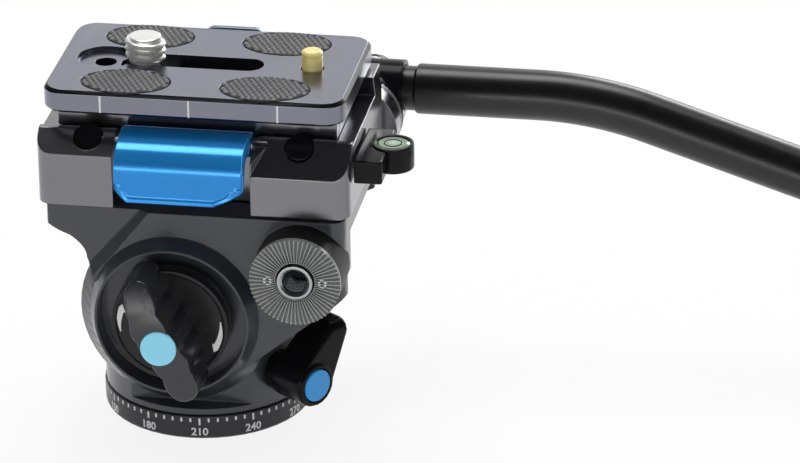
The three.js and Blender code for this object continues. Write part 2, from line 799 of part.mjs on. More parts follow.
function coverScrewSolid(at) {
  const headTop = cheek.outer + gap.fit + sideCover.thickness;
  const headBottom = headTop - coverScrew.headHeight;
  return turned("y", [
    [0, cheek.outer - coverScrew.inset + gap.fit],
    [coverScrew.radius, cheek.outer - coverScrew.inset + gap.fit],
    [coverScrew.radius, headBottom],
    [coverScrew.headRadius, headBottom],
    [coverScrew.headRadius, headTop],
    [0, headTop],
  ], at, sides.tiny);
}

// Rosettes

// A disc with radial teeth on one side. The teeth rise towards -Y for side -1 and towards +Y for side 1.
function toothedDisc(place, face, side, thickness = rosette.thickness) {
  const count = 2 * rosette.toothCount;
  const positions = [];
  const addRing = (radius, yOf) => {
    for (let index = 0; index < count; index += 1) {
      const angle = (2 * Math.PI * index) / count;
      positions.push(place.x + radius * Math.cos(angle), yOf(index), place.z + radius * Math.sin(angle));
    }
  };
  const toothed = (index) => side * (face - (index % 2) * rosette.toothHeight);
  const back = () => side * (face - thickness);
  addRing(rosette.hubRadius, toothed);
  addRing(rosette.radius, toothed);
  addRing(rosette.radius, back);
  addRing(rosette.hubRadius, back);
  const corners = [];
  const rings = positions.length / (3 * count);
  for (let band = 0; band < rings; band += 1) {
    const next = (band + 1) % rings;
    for (let index = 0; index < count; index += 1) {
      const after = (index + 1) % count;
      const [a, b, c, d] = [band * count + index, band * count + after, next * count + after, next * count + index];
      corners.push(a, b, c, a, c, d);
    }
  }
  const geometry = new THREE.BufferGeometry();
  geometry.setAttribute("position", new THREE.Float32BufferAttribute(positions, 3));
  geometry.setIndex(corners);
  return solidOf(geometry);
}

const rosetteScrewPlaces = (place) => [-1, 1].map((way) => [place.x + way * rosette.screwOffset, place.z]);

function rosetteScrewHoles(place, side) {
  const ends = [side * (place.face + gap.overrun), side * (place.face - rosette.screwLength - gap.fit)];
  ends.sort((a, b) => a - b);
  return rosetteScrewPlaces(place).map((at) =>
    bar("y", rosette.screwRadius + gap.fit, ends[0], ends[1], at, sides.tiny));
}

// The near rosette, held by two small screws.
function screwedRosette(place, side) {
  const disc = toothedDisc(place, place.face, side);
  const headRoom = rosetteScrewPlaces(place).map((at) => {
    const ends = [side * (place.face - rosette.thickness / 2), side * (place.face + gap.overrun)];
    ends.sort((a, b) => a - b);
    return bar("y", rosette.screwHeadRadius + gap.fit, ends[0], ends[1], at, sides.tiny);
  });
  return cut(disc, ...rosetteScrewHoles(place, side), ...headRoom);
}

function rosetteScrew(place, at, side) {
  const headBottom = place.face - rosette.thickness / 2 + gap.fit;
  const headTop = place.face - rosette.toothHeight / 2;
  const end = place.face - rosette.screwLength;
  return turned("y", [
    [0, side * end],
    [rosette.screwRadius, side * end],
    [rosette.screwRadius, side * headBottom],
    [rosette.screwHeadRadius, side * headBottom],
    [rosette.screwHeadRadius, side * headTop],
    [0, side * headTop],
  ], at, sides.tiny);
}

// Clamp

function clampProfile(faceTop) {
  const slopeY = clamp.halfWidth - clamp.slopeInset;
  const jawTop = dovetail.bottomHalf + gap.fit;
  return [
    [-clamp.halfWidth, clamp.bottom],
    [clamp.halfWidth, clamp.bottom],
    [clamp.halfWidth, clamp.faceTop],
    [clamp.railOuter, clamp.slopeTop],
    [clamp.railOuter, clamp.railTop],
    [dovetail.neckHalf + gap.fit, clamp.railTop],
    [jawTop, clamp.channelFloor],
    [-clamp.channelNear, clamp.channelFloor],
    [-clamp.channelNear, clamp.slopeTop],
    [-slopeY, clamp.slopeTop],
    [-clamp.halfWidth, faceTop],
  ];
}

// A plug lies flush in the near slope; tool is true for the room cut for it.
function plugSolid(x, inset, faceTop, tool) {
  const slope = new THREE.Vector2(clamp.slopeInset, clamp.slopeTop - faceTop);
  const share = inset / clamp.slopeInset;
  const centre = [-clamp.halfWidth + share * slope.x, faceTop + share * slope.y];
  const tilted = Math.atan2(slope.x, slope.y);
  const spare = tool ? gap.fit : 0;
  const top = tool ? gap.overrun : plug.proud;
  const disc = bar("y", plug.radius + spare, -top, plug.thickness + spare, [0, 0], sides.small);
  const turn = new THREE.Matrix4()
    .makeTranslation(x, centre[0], centre[1])
    .multiply(new THREE.Matrix4().makeRotationX(-(Math.PI / 2 - tilted)));
  return disc.transform(turn.elements);
}

const plugs = [
  { name: "clamp_plug_front", x: plug.frontX, inset: plug.frontInset, faceTop: clamp.faceTop },
  { name: "clamp_plug_rear", x: plug.rearX, inset: plug.rearInset, faceTop: clamp.rearFaceTop },
];

function clampBody() {
  const front = prism("x", clampProfile(clamp.faceTop), clamp.front, leverBay.rear);
  const rear = prism("x", clampProfile(clamp.rearFaceTop), leverBay.rear, clamp.rear);
  const plan = roundedRectangle(clamp.front, clamp.rear, -clamp.halfWidth, clamp.halfWidth, clamp.cornerRadius);
  const bounds = prism("z", plan, clamp.bottom, clamp.railTop);
  const foot = box(
    [deck.front + clamp.footInset, -cheek.outer + clamp.footInset, deck.top + gap.fit],
    [deck.rear - clamp.footInset, cheek.outer - clamp.footInset, clamp.bottom + gap.overrun],
  );
  const rosetteBoss = bar("y", rosette.radius, cheek.outer + gap.fit,
    farRosette.face - rosette.thickness - gap.fit, [farRosette.x, farRosette.z]);
  const leverRoom = box(
    [leverBay.front, -clamp.halfWidth - gap.overrun, clamp.bottom - gap.overrun],
    [leverBay.rear, -clamp.halfWidth + leverBay.depth, clamp.railTop],
  );
  const catchRoom = box(
    [catchLever.front - catchLever.bayMargin, clamp.halfWidth - catchLever.bayDepth, catchLever.bayBottom],
    [catchLever.rear + catchLever.bayMargin, clamp.halfWidth + gap.overrun, clamp.railTop],
  );
  const leverPinHole = bar("x", clampLever.pinRadius + gap.fit, leverBay.front - clampLever.pinReach - gap.fit,
    leverBay.rear + clampLever.pinReach + gap.fit, [clampLever.y, clampLever.z], sides.tiny);
  const catchPinHole = bar("x", catchLever.pinRadius + gap.fit,
    catchLever.front - catchLever.bayMargin - catchLever.pinReach - gap.fit,
    catchLever.rear + catchLever.bayMargin + catchLever.pinReach + gap.fit,
    [catchLever.y, catchLever.z], sides.tiny);
  const boltBore = bar("y", barLever.boltRadius + gap.fit, clamp.halfWidth - barLever.boltInset - gap.fit,
    farRosette.face + gap.overrun, [farRosette.x, farRosette.z], sides.small);
  const screwHoles = clampScrewPlaces().map((x) =>
    bar("z", clampScrew.radius + gap.fit, deck.top, clampScrew.top + gap.fit, [x, 0], sides.tiny));
  return cut(
    join(common(join(front, rear), bounds), foot, rosetteBoss),
    leverRoom, catchRoom, leverPinHole, catchPinHole, boltBore,
    ...screwHoles,
    ...plugs.map(({ x, inset, faceTop }) => plugSolid(x, inset, faceTop, true)),
  );
}

function clampScrewSolid(x) {
  const headTop = clampScrew.headBottom + clampScrew.headHeight;
  return turned("z", [
    [0, clampScrew.headBottom],
    [clampScrew.headRadius, clampScrew.headBottom],
    [clampScrew.headRadius, headTop],
    [clampScrew.radius, headTop],
    [clampScrew.radius, clampScrew.top],
    [0, clampScrew.top],
  ], [x, 0], sides.tiny);
}

// The sliding side of the dovetail, pressed by the lever.
function clampJaw() {
  const bottom = clamp.channelFloor + gap.fit;
  const outer = clampLever.y + clampLever.barrelOffset + clampLever.barrelRadius + gap.fit;
  return prism("x", [
    [outer, bottom],
    [-(dovetail.bottomHalf + gap.fit), bottom],
    [-(dovetail.neckHalf + gap.fit), clamp.railTop],
    [outer, clamp.railTop],
  ], dovetail.front, dovetail.rear);
}

// The blue lever, in its own frame on its pivot.
function clampLeverSolid() {
  const curve = new THREE.CubicBezierCurve(
    new THREE.Vector2(clampLever.rootY, clampLever.rootZ),
    new THREE.Vector2(clampLever.bulgeY, clampLever.bulgeZ),
    new THREE.Vector2(clampLever.hollowY, clampLever.hollowZ),
    new THREE.Vector2(clampLever.tipY, clampLever.tipZ),
  );
  const outline = ribbonOutline(curve, clampLever.thickness, clampLever.steps);
  const blade = prism("x", outline, clampLever.front, clampLever.rear);
  const barrelBar = bar("x", clampLever.barrelRadius, clampLever.front, clampLever.rear,
    [clampLever.barrelOffset, 0], sides.small);
  const low = clampLever.tipZ - clampLever.thickness;
  const high = clampLever.barrelRadius + clampLever.thickness;
  const face = prism("y", [
    [clampLever.front, high],
    [clampLever.front, low + clampLever.frontCornerHeight + clampLever.thickness],
    [clampLever.front + clampLever.frontCornerLength, low],
    [clampLever.rear - clampLever.rearCornerLength, low],
    [clampLever.rear, low + clampLever.rearCornerHeight + clampLever.thickness],
    [clampLever.rear, high],
  ], clampLever.tipY - gap.overrun, clampLever.barrelRadius + gap.overrun);
  const pinBore = bar("x", clampLever.pinRadius + gap.fit, clampLever.front - gap.overrun,
    clampLever.rear + gap.overrun, [0, 0], sides.tiny);
  return cut(common(join(blade, barrelBar), face), pinBore);
}

// The catch on the far side, in its own frame on its pivot.
function catchLeverSolid() {
  const curve = new THREE.QuadraticBezierCurve(
    new THREE.Vector2(0, 0),
    new THREE.Vector2(catchLever.kneeY, catchLever.kneeZ),
    new THREE.Vector2(catchLever.topY, catchLever.topZ),
  );
  const blade = prism("x", ribbonOutline(curve, catchLever.thickness, clampLever.steps),
    catchLever.front, catchLever.rear);
  const barrelBar = bar("x", catchLever.barrelRadius, catchLever.front, catchLever.rear, [0, 0], sides.small);
  const face = prism("y", roundedRectangle(catchLever.front, catchLever.rear, -catchLever.cornerRadius,
    catchLever.topZ, catchLever.cornerRadius), -clamp.halfWidth, clamp.halfWidth);
  const pinBore = bar("x", catchLever.pinRadius + gap.fit, catchLever.front - gap.overrun,
    catchLever.rear + gap.overrun, [0, 0], sides.tiny);
  return cut(join(common(blade, face), barrelBar), pinBore);
}

function levelHousing() {
  const front = clamp.rear + gap.fit;
  const block = box([front, level.near, level.bottom], [level.rear, level.far, level.top]);
  const cup = turned("z", [
    [0, level.bottom],
    [level.cupRadius - level.edge, level.bottom],
    [level.cupRadius, level.bottom + level.edge],
    [level.cupRadius, level.top],
    [0, level.top],
  ], [level.cupX, level.cupY]);
  const vialRoom = bar("z", level.vialRadius + gap.fit, level.top - level.vialDepth - gap.fit,
    level.top + gap.overrun, [level.cupX, level.cupY]);
  return cut(join(block, cup), vialRoom);
}

function addTiltBody(head) {
  const group = subAssembly(head);
  addPiece(group, "tilt_cradle", tiltCradle(), "blackSatin");
  const bushInner = axle.radius + gap.fit;
  const bushOuter = lockBoss.hubBoreRadius - gap.fit;
  const nearBush = ring("y", bushInner, bushOuter, -lockBoss.floor, -cheek.inner, [tilt.x, tilt.z], sides.small);
  const farBush = ring("y", bushInner, bushOuter, cheek.inner, cheek.outer, [tilt.x, tilt.z], sides.small);
  addPiece(group, "tilt_bush_near", nearBush, "bronze");
  addPiece(group, "tilt_bush_far", farBush, "bronze");
  addPiece(group, "tilt_side_cover", sideCoverSolid(), "blackSatin");
  coverScrewPlaces().forEach((at, index) => {
    addPiece(group, "side_cover_screw_" + (index + 1), coverScrewSolid(at), "steel");
  });
  addPiece(group, "rosette_near", screwedRosette(nearRosette, -1), "blackSatin");
  rosetteScrewPlaces(nearRosette).forEach((at, index) => {
    addPiece(group, "rosette_near_screw_" + (index + 1), rosetteScrew(nearRosette, at, -1), "steel");
  });
  const insertFace = -nearRosette.face - rosette.insertProud;
  const insert = ring("y", rosette.insertBoreRadius, rosette.insertRadius, insertFace,
    insertFace + rosette.insertLength, [nearRosette.x, nearRosette.z], sides.small);
  addPiece(group, "rosette_near_insert", insert, "steel");
  addPiece(group, "rosette_far", toothedDisc(farRosette, farRosette.face, 1), "blackSatin");
  addPiece(group, "clamp_body", clampBody(), "blackAnodised");
  clampScrewPlaces().forEach((x, index) => {
    addPiece(group, "clamp_screw_" + (index + 1), clampScrewSolid(x), "steel");
  });
  plugs.forEach(({ name, x, inset, faceTop }) => {
    addPiece(group, name, plugSolid(x, inset, faceTop, false), "blackPlastic");
  });
  const leverPin = bar("x", clampLever.pinRadius, leverBay.front - clampLever.pinReach,
    leverBay.rear + clampLever.pinReach, [clampLever.y, clampLever.z], sides.tiny);
  addPiece(group, "clamp_lever_pin", leverPin, "steel");
  const catchPin = bar("x", catchLever.pinRadius, catchLever.front - catchLever.bayMargin - catchLever.pinReach,
    catchLever.rear + catchLever.bayMargin + catchLever.pinReach, [catchLever.y, catchLever.z], sides.tiny);
  addPiece(group, "catch_pin", catchPin, "steel");
  addPiece(group, "level_housing", levelHousing(), "blackPlastic");
  const vial = bar("z", level.vialRadius, level.top - level.vialDepth, level.top, [level.cupX, level.cupY]);
  addPiece(group, "level_vial", vial, "vialGreen");
  addPiece(subAssembly(group, 0, clampLever.y, clampLever.z), "clamp_lever", clampLeverSolid(), "blueAnodised");
  addPiece(group, "clamp_jaw", clampJaw(), "blackAnodised");
  addPiece(subAssembly(group, 0, catchLever.y, catchLever.z), "safety_catch", catchLeverSolid(), "paleBlue");
}

// Tilt lock knob

// The wing handle of a knob, along X of its own frame, crest towards -Y.
function wingHandle(sizes) {
  const outline = new THREE.Shape();
  const tipCentre = sizes.halfLength - sizes.tipHalfWidth;
  outline.moveTo(0, -sizes.halfWidth);
  outline.absarc(tipCentre, 0, sizes.tipHalfWidth, -Math.PI / 2, Math.PI / 2, false);
  outline.lineTo(0, sizes.halfWidth);
  outline.absarc(-tipCentre, 0, sizes.tipHalfWidth, Math.PI / 2, 1.5 * Math.PI, false);
  const plan = prism("y", outline, -sizes.crest - gap.overrun, -sizes.root, curveSteps.slot);
  const side = new THREE.Shape();
  side.moveTo(-sizes.halfLength, -sizes.tipCrest);
  side.quadraticCurveTo(0, -2 * sizes.crest + sizes.tipCrest, sizes.halfLength, -sizes.tipCrest);
  side.lineTo(sizes.halfLength, -sizes.root);
  side.lineTo(-sizes.halfLength, -sizes.root);
  const elevation = prism("z", side, -sizes.halfWidth, sizes.halfWidth, curveSteps.pad);
  return common(plan, elevation);
}

function tiltKnobSolid() {
  const dial = turned("y", [
    [0, -tiltKnob.hubBack],
    [tiltKnob.hubRadius, -tiltKnob.hubBack],
    [tiltKnob.hubRadius, -tiltKnob.dialBack],
    [tiltKnob.dialRadius, -tiltKnob.dialBack],
    [tiltKnob.dialRadius, -tiltKnob.dialFace],
    [0, -tiltKnob.dialFace],
  ]);
  const wing = wingHandle({
    halfLength: tiltKnob.wingHalfLength,
    halfWidth: tiltKnob.wingHalfWidth,
    tipHalfWidth: tiltKnob.wingTipHalfWidth,
    crest: tiltKnob.wingCrest,
    tipCrest: tiltKnob.wingTipCrest,
    root: tiltKnob.wingRoot,
  });
  const flutes = [-1, 1].flatMap((side) =>
    Array.from({ length: tiltKnob.fluteCount }, (_, index) => {
      const along = tiltKnob.fluteSpacing * (index + 1);
      const widthShare = along / tiltKnob.wingHalfLength;
      const edge = THREE.MathUtils.lerp(tiltKnob.wingHalfWidth, tiltKnob.wingTipHalfWidth, widthShare);
      return [-side * along, side * (edge + tiltKnob.fluteRadius / 2)];
    }).map((at) => bar("y", tiltKnob.fluteRadius, -tiltKnob.wingCrest - gap.overrun,
      -tiltKnob.dialFace - gap.fit, at, sides.tiny)));
  const capRoom = bar("y", tiltKnob.capRadius + gap.fit, -tiltKnob.wingCrest - gap.overrun,
    -tiltKnob.wingCrest - tiltKnob.capProud + tiltKnob.capThickness + gap.fit, [0, 0], sides.small);
  const screwBore = bar("y", tiltKnob.screwRadius + gap.fit, -tiltKnob.screwFront - gap.fit, 0,
    [0, 0], sides.small);
  return cut(join(dial, cut(wing, ...flutes)), capRoom, screwBore);
}

function addTiltKnob(head) {
  const group = subAssembly(head, tilt.x, 0, tilt.z);
  // At a turn of zero the wing would lie along X, so it is turned up first.
  group.rotation.y = radians(90 - tiltKnob.wingTurnAngle);
  addPiece(group, "tilt_lock_knob", tiltKnobSolid(), "blackPlastic");
  const capFace = -tiltKnob.wingCrest - tiltKnob.capProud;
  const cap = bar("y", tiltKnob.capRadius, capFace, capFace + tiltKnob.capThickness, [0, 0], sides.medium);
  addPiece(group, "tilt_lock_cap", cap, "blueCap");
  const screw = bar("y", tiltKnob.screwRadius, -tiltKnob.screwFront, -tiltKnob.screwBack, [0, 0], sides.small);
  addPiece(group, "tilt_lock_screw", screw, "steel");
}

// Quick release plate

const padPlaces = [-1, 1].flatMap((alongWay) =>
  [-1, 1].map((acrossWay) => [gripPad.midX + alongWay * gripPad.x, acrossWay * gripPad.y]));

function quickReleasePlate() {
  const inset = plate.edge;
  const outline = roundedRectangle(plate.front + inset, plate.rear - inset, -plate.halfWidth + inset,
    plate.halfWidth - inset, plate.cornerRadius - inset);
  const slab = new THREE.ExtrudeGeometry(outline, {
    depth: plate.top - plate.bottom - 2 * plate.edge,
    bevelEnabled: true,
    bevelThickness: plate.edge,
    bevelSize: plate.edge,
    bevelSegments: 1,
    curveSegments: curveSteps.corner,
  }).translate(0, 0, plate.bottom + plate.edge);
  const tail = prism("x", [
    [-dovetail.bottomHalf, dovetail.bottom],
    [dovetail.bottomHalf, dovetail.bottom],
    [dovetail.neckHalf, plate.bottom],
    [dovetail.neckHalf, plate.bottom + plate.edge],
    [-dovetail.neckHalf, plate.bottom + plate.edge],
    [-dovetail.neckHalf, plate.bottom],
  ], dovetail.front, dovetail.rear);
  const through = [dovetail.bottom - gap.overrun, plate.top + gap.overrun];
  const slot = prism("z", roundedSlot(plateSlot.front, plateSlot.rear, plateSlot.halfWidth), ...through,
    curveSteps.slot);
  const channelPlan = roundedRectangle(slotChannel.front, slotChannel.rear, -slotChannel.halfWidth,
    slotChannel.halfWidth, slotChannel.cornerRadius);
  const channel = prism("z", channelPlan, through[0], slotChannel.top);
  const keyholeRoom = bar("z", keyhole.radius, plate.top - keyhole.depth, through[1], [keyhole.x, 0]);
  const pilot = bar("z", keyhole.pilotRadius, ...through, [keyhole.x, 0], sides.small);
  const pinBore = bar("z", videoPin.radius + gap.fit, ...through, [videoPin.x, 0], sides.small);
  const pinPocket = bar("z", videoPin.pocketRadius, through[0], videoPin.pocketTop, [videoPin.x, 0], sides.small);
  const padRooms = padPlaces.map(([x, y]) =>
    prism("z", ellipse(gripPad.halfLength + gap.fit, gripPad.halfWidth + gap.fit),
      plate.top - gripPad.sink - gap.fit, through[1], curveSteps.pad).translate([x, y, 0]));
  return cut(join(solidOf(slab), tail), slot, channel, keyholeRoom, pilot, pinBore, pinPocket, ...padRooms);
}

// The camera screw: slotted head in the channel, slim neck in the slot, coarse thread above the plate.
function cameraScrewSolid() {
  const ridges = Array.from({ length: cameraScrew.turns }, (_, index) => {
    const low = cameraScrew.threadBottom + index * cameraScrew.pitch;
    return [
      [cameraScrew.threadRadius, low + cameraScrew.pitch / 4],
      [cameraScrew.threadRadius, low + cameraScrew.pitch / 2],
      [cameraScrew.rootRadius, low + cameraScrew.pitch],
    ];
  }).flat();
  const body = turned("z", [
    [0, cameraScrew.headBottom],
    [cameraScrew.headRadius, cameraScrew.headBottom],
    [cameraScrew.headRadius, cameraScrew.headTop],
    [cameraScrew.neckRadius, cameraScrew.headTop],
    [cameraScrew.neckRadius, cameraScrew.threadBottom],
    [cameraScrew.rootRadius, cameraScrew.threadBottom],
    ...ridges,
    [cameraScrew.tipRadius, cameraScrew.top],
    [0, cameraScrew.top],
  ], [0, 0], sides.small);
  const toolSlot = box(
    [-cameraScrew.toolSlotHalf, -cameraScrew.headRadius - gap.overrun, cameraScrew.headBottom - gap.overrun],
    [cameraScrew.toolSlotHalf, cameraScrew.headRadius + gap.overrun, cameraScrew.headBottom + cameraScrew.toolSlotDepth],
  );
  return cut(body, toolSlot);
}

function videoPinSolid() {
  const flangeTop = videoPin.pocketTop - gap.fit;
  const pinTop = plate.top + videoPin.proud;
  return turned("z", [
    [0, flangeTop - videoPin.flangeHeight],
    [videoPin.flangeRadius, flangeTop - videoPin.flangeHeight],
    [videoPin.flangeRadius, flangeTop],
    [videoPin.radius, flangeTop],
    [videoPin.radius, pinTop - videoPin.edge],
    [videoPin.radius - videoPin.edge, pinTop],
    [0, pinTop],
  ], [0, 0], sides.small);
}

function addPlate(head) {
  const group = subAssembly(head);
  addPiece(group, "quick_release_plate", quickReleasePlate(), "greyPlate");
  padPlaces.forEach(([x, y], index) => {
    const pad = prism("z", ellipse(gripPad.halfLength, gripPad.halfWidth), -gripPad.sink, gripPad.proud,
      curveSteps.pad);
    addPiece(subAssembly(group, x, y, plate.top), "grip_pad_" + (index + 1), pad, "rubber");
  });
  const carriage = subAssembly(group, cameraScrew.x);
  const sliderBlock = cut(
    box([-slider.half, -slider.half, slider.bottom], [slider.half, slider.half, slider.top]),
    bar("z", cameraScrew.neckRadius + gap.fit, slider.bottom - gap.overrun, slider.top + gap.overrun,
      [0, 0], sides.small),
  );
  addPiece(carriage, "camera_screw_slider", sliderBlock, "steel");
  addPiece(carriage, "camera_screw", cameraScrewSolid(), "steel");
  addPiece(subAssembly(group, videoPin.x), "video_pin", videoPinSolid(), "brass");
}

// Pan bar, in its own frame on the axis of the far rosette

const tubeZ = panBar.z - farRosette.z;

// The lug: a toothed drum on the rosette's axis with a collar for the tube.
function panBarLug() {
  const drum = turned("y", [
    [0, panBar.lugNear + rosette.toothHeight],
    [panBar.lugRadius, panBar.lugNear + rosette.toothHeight],
    [panBar.lugRadius, panBar.lugFar - panBar.lugEdge],
    [panBar.lugRadius - panBar.lugEdge, panBar.lugFar],
    [0, panBar.lugFar],
  ]);
  const teeth = toothedDisc({ x: 0, z: 0 }, -panBar.lugNear, -1, rosette.thickness);
  const at = [panBar.y, tubeZ];
  const collar = bar("x", panBar.collarRadius, 0, panBar.collarEnd - farRosette.x, at);
  const tubeRoom = bar("x", panBar.neckRadius + gap.fit, panBar.neckStart - gap.fit - farRosette.x,
    panBar.collarEnd + gap.overrun - farRosette.x, at);
  const boltBore = bar("y", barLever.boltRadius + gap.fit, panBar.lugNear - gap.overrun,
    panBar.lugFar + gap.overrun, [0, 0], sides.small);
  return cut(join(drum, teeth, collar), tubeRoom, boltBore);
}

// The centre line of the tube, from its straight start through the bend.
function tubePath() {
  const bend = radians(panBar.bendAngle);
  const start = new THREE.Vector3(panBar.neckEnd - farRosette.x, panBar.y, tubeZ);
  const bendStart = new THREE.Vector3(panBar.bendStart - farRosette.x, panBar.y, tubeZ);
  const bendEnd = bendStart.clone().add(
    new THREE.Vector3(Math.sin(bend), 0, Math.cos(bend) - 1).multiplyScalar(panBar.bendRadius));
  const corner = bendStart.clone().add(new THREE.Vector3(panBar.bendRadius * Math.tan(bend / 2), 0, 0));
  const end = bendEnd.clone().add(
    new THREE.Vector3(Math.cos(bend), 0, -Math.sin(bend)).multiplyScalar(panBar.tailLength));
  return { start, bendStart, corner, bendEnd, end };
}

function panBarTube() {
  const { start, bendStart, corner, bendEnd, end } = tubePath();
  const path = new THREE.CurvePath();
  path.add(new THREE.LineCurve3(start, bendStart));
  path.add(new THREE.QuadraticBezierCurve3(bendStart, corner, bendEnd));
  path.add(new THREE.LineCurve3(bendEnd, end));
  const section = new THREE.Shape();
  section.absarc(0, 0, panBar.tubeRadius, 0, 2 * Math.PI, false);
  const tube = new THREE.ExtrudeGeometry(section, {
    steps: curveSteps.path,
    curveSegments: curveSteps.tube,
    extrudePath: path,
  });
  const neck = bar("x", panBar.neckRadius, panBar.neckStart - farRosette.x,
    panBar.neckEnd + gap.overrun - farRosette.x, [panBar.y, tubeZ], sides.small);
  return join(solidOf(tube), neck);
}

function addPanBar(head) {
  const group = subAssembly(head, farRosette.x, 0, farRosette.z);
  addPiece(group, "pan_bar_lug", panBarLug(), "blackPlastic");
  addPiece(group, "pan_bar_tube", panBarTube(), "blackSatin");

  // The grip and its cap lie along the last straight run of the tube.
  const { end } = tubePath();
  const handle = subAssembly(group, end.x, end.y, end.z);
  handle.rotation.y = radians(panBar.bendAngle);
  const bore = panBar.tubeRadius + gap.fit;
  const sleeve = turned("x", [
    [bore, -grip.length],
    [grip.waistRadius - grip.edge, -grip.length],
    [grip.waistRadius, -grip.length + grip.edge],
    [grip.waistRadius, -grip.length / 2],
    [grip.radius, -grip.length / 4],
    [grip.radius, gap.fit],
    [bore, gap.fit],
    [bore, -grip.length],
  ]);
  addPiece(handle, "pan_bar_grip", sleeve, "rubber");
  const capStart = 2 * gap.fit;
  const cap = turned("x", [
    [0, capStart],
    [grip.radius, capStart],
    [grip.radius, capStart + grip.capThickness - grip.edge],
    [grip.radius - grip.edge, capStart + grip.capThickness],
    [0, capStart + grip.capThickness],
  ]);
  addPiece(handle, "pan_bar_end_cap", cap, "blackPlastic");

  // The tightening lever is made along X and turned to point along +Y.
  const lever = subAssembly(head, farRosette.x, panBar.lugFar + gap.fit, farRosette.z);
  lever.rotation.z = Math.PI / 2;
  const boltEnd = barLever.hubLength / 2;
  const boltStart = clamp.halfWidth - barLever.boltInset - panBar.lugFar - gap.fit;
  const leverHub = bar("x", barLever.hubRadius, 0, barLever.hubLength, [0, 0], sides.small);
  const boltRoom = bar("x", barLever.boltRadius + gap.fit, -gap.overrun, boltEnd + gap.fit, [0, 0], sides.small);
  addPiece(lever, "pan_bar_lever", cut(join(leverHub, leverArm(barLever)), boltRoom), "blackPlastic");
  const bolt = bar("x", barLever.boltRadius, boltStart, boltEnd, [0, 0], sides.small);
  addPiece(lever, "pan_bar_bolt", bolt, "steel");
}

const videoHead = new THREE.Group();
addBase(videoHead);
addPanBody(videoHead);
addTiltBody(videoHead);
addTiltKnob(videoHead);
addPlate(videoHead);
addPanBar(videoHead);

export default videoHead;
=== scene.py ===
"""The looks of a compact fluid video head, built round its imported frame.

Pieces are made in millimetres in a frame of their own and then placed, in metres, in the frame of the part:
+Z is up, +X runs to the rear along the camera plate and -Y is the side of the tilt lock.
Each sub-assembly is a class that holds its sizes and makes, dresses and hands over its pieces.
"""

import logging
import math
from collections.abc import Callable, Sequence
from dataclasses import dataclass, replace
from enum import Enum
from typing import ClassVar, Optional, Union

import bmesh
import bpy
from mathutils import Matrix, Vector


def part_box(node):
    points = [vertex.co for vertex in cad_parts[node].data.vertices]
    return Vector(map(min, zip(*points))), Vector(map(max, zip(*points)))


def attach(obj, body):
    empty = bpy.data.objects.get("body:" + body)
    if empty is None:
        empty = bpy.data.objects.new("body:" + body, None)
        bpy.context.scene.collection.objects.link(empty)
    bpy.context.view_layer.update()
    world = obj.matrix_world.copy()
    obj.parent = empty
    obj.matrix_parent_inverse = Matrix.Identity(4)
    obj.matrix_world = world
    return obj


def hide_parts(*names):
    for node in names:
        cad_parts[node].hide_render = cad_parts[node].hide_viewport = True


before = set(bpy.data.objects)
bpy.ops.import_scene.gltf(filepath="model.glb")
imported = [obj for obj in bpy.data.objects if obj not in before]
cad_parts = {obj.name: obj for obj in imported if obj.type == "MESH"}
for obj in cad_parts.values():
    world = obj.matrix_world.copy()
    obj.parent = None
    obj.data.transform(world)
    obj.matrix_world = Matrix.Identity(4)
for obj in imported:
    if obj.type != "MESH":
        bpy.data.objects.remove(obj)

LOG = logging.getLogger("video_head")
MM = 0.001
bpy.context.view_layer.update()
# The angle, in degrees, above which an edge stays sharp: on most pieces, and on the lever and the wing.
SHARP_ANGLE = 32.0
BLADE_ANGLE = 40.0
# What keeps a region without a rim, and a corner without a neighbour, from dividing by nothing.
LEAST_RIM = 1e-9
LEAST_BLEND = 1e-12

Point2 = tuple[float, float]
Colour = tuple[float, float, float, float]
Value = Union[float, "Flow"]
FaceTest = Callable[[Vector, Vector], bool]
Piece = bpy.types.Object


class Side(Enum):
    """The side of the head that a toothed disc or a cheek belongs to."""

    NEAR = -1
    FAR = 1


def span(node: str) -> tuple[Vector, Vector]:
    """Gives the lowest and the highest corner of a CAD node's box, in millimetres."""
    low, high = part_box(node)
    return low / MM, high / MM


def middle(node: str) -> Vector:
    """Gives the centre of a CAD node's box in millimetres."""
    low, high = span(node)
    return (low + high) / 2


class Flow:
    """One output of a node graph. Arithmetic on it adds Math nodes to the graph."""

    def __init__(self, graph: "Graph", socket: bpy.types.NodeSocket) -> None:
        """Keeps the graph and the output socket."""
        self.graph = graph
        self.socket = socket

    def __add__(self, other: Value) -> "Flow":
        """Adds a value."""
        return self.graph.maths("ADD", self, other)

    def __radd__(self, other: Value) -> "Flow":
        """Is added to a value."""
        return self.graph.maths("ADD", other, self)

    def __sub__(self, other: Value) -> "Flow":
        """Takes a value away."""
        return self.graph.maths("SUBTRACT", self, other)

    def __rsub__(self, other: Value) -> "Flow":
        """Is taken away from a value."""
        return self.graph.maths("SUBTRACT", other, self)

    def __mul__(self, other: Value) -> "Flow":
        """Multiplies by a value."""
        return self.graph.maths("MULTIPLY", self, other)

    def __rmul__(self, other: Value) -> "Flow":
        """Multiplies a value."""
        return self.graph.maths("MULTIPLY", other, self)

    def __truediv__(self, other: Value) -> "Flow":
        """Divides by a value."""
        return self.graph.maths("DIVIDE", self, other)

    def __rtruediv__(self, other: Value) -> "Flow":
        """Divides a value."""
        return self.graph.maths("DIVIDE", other, self)


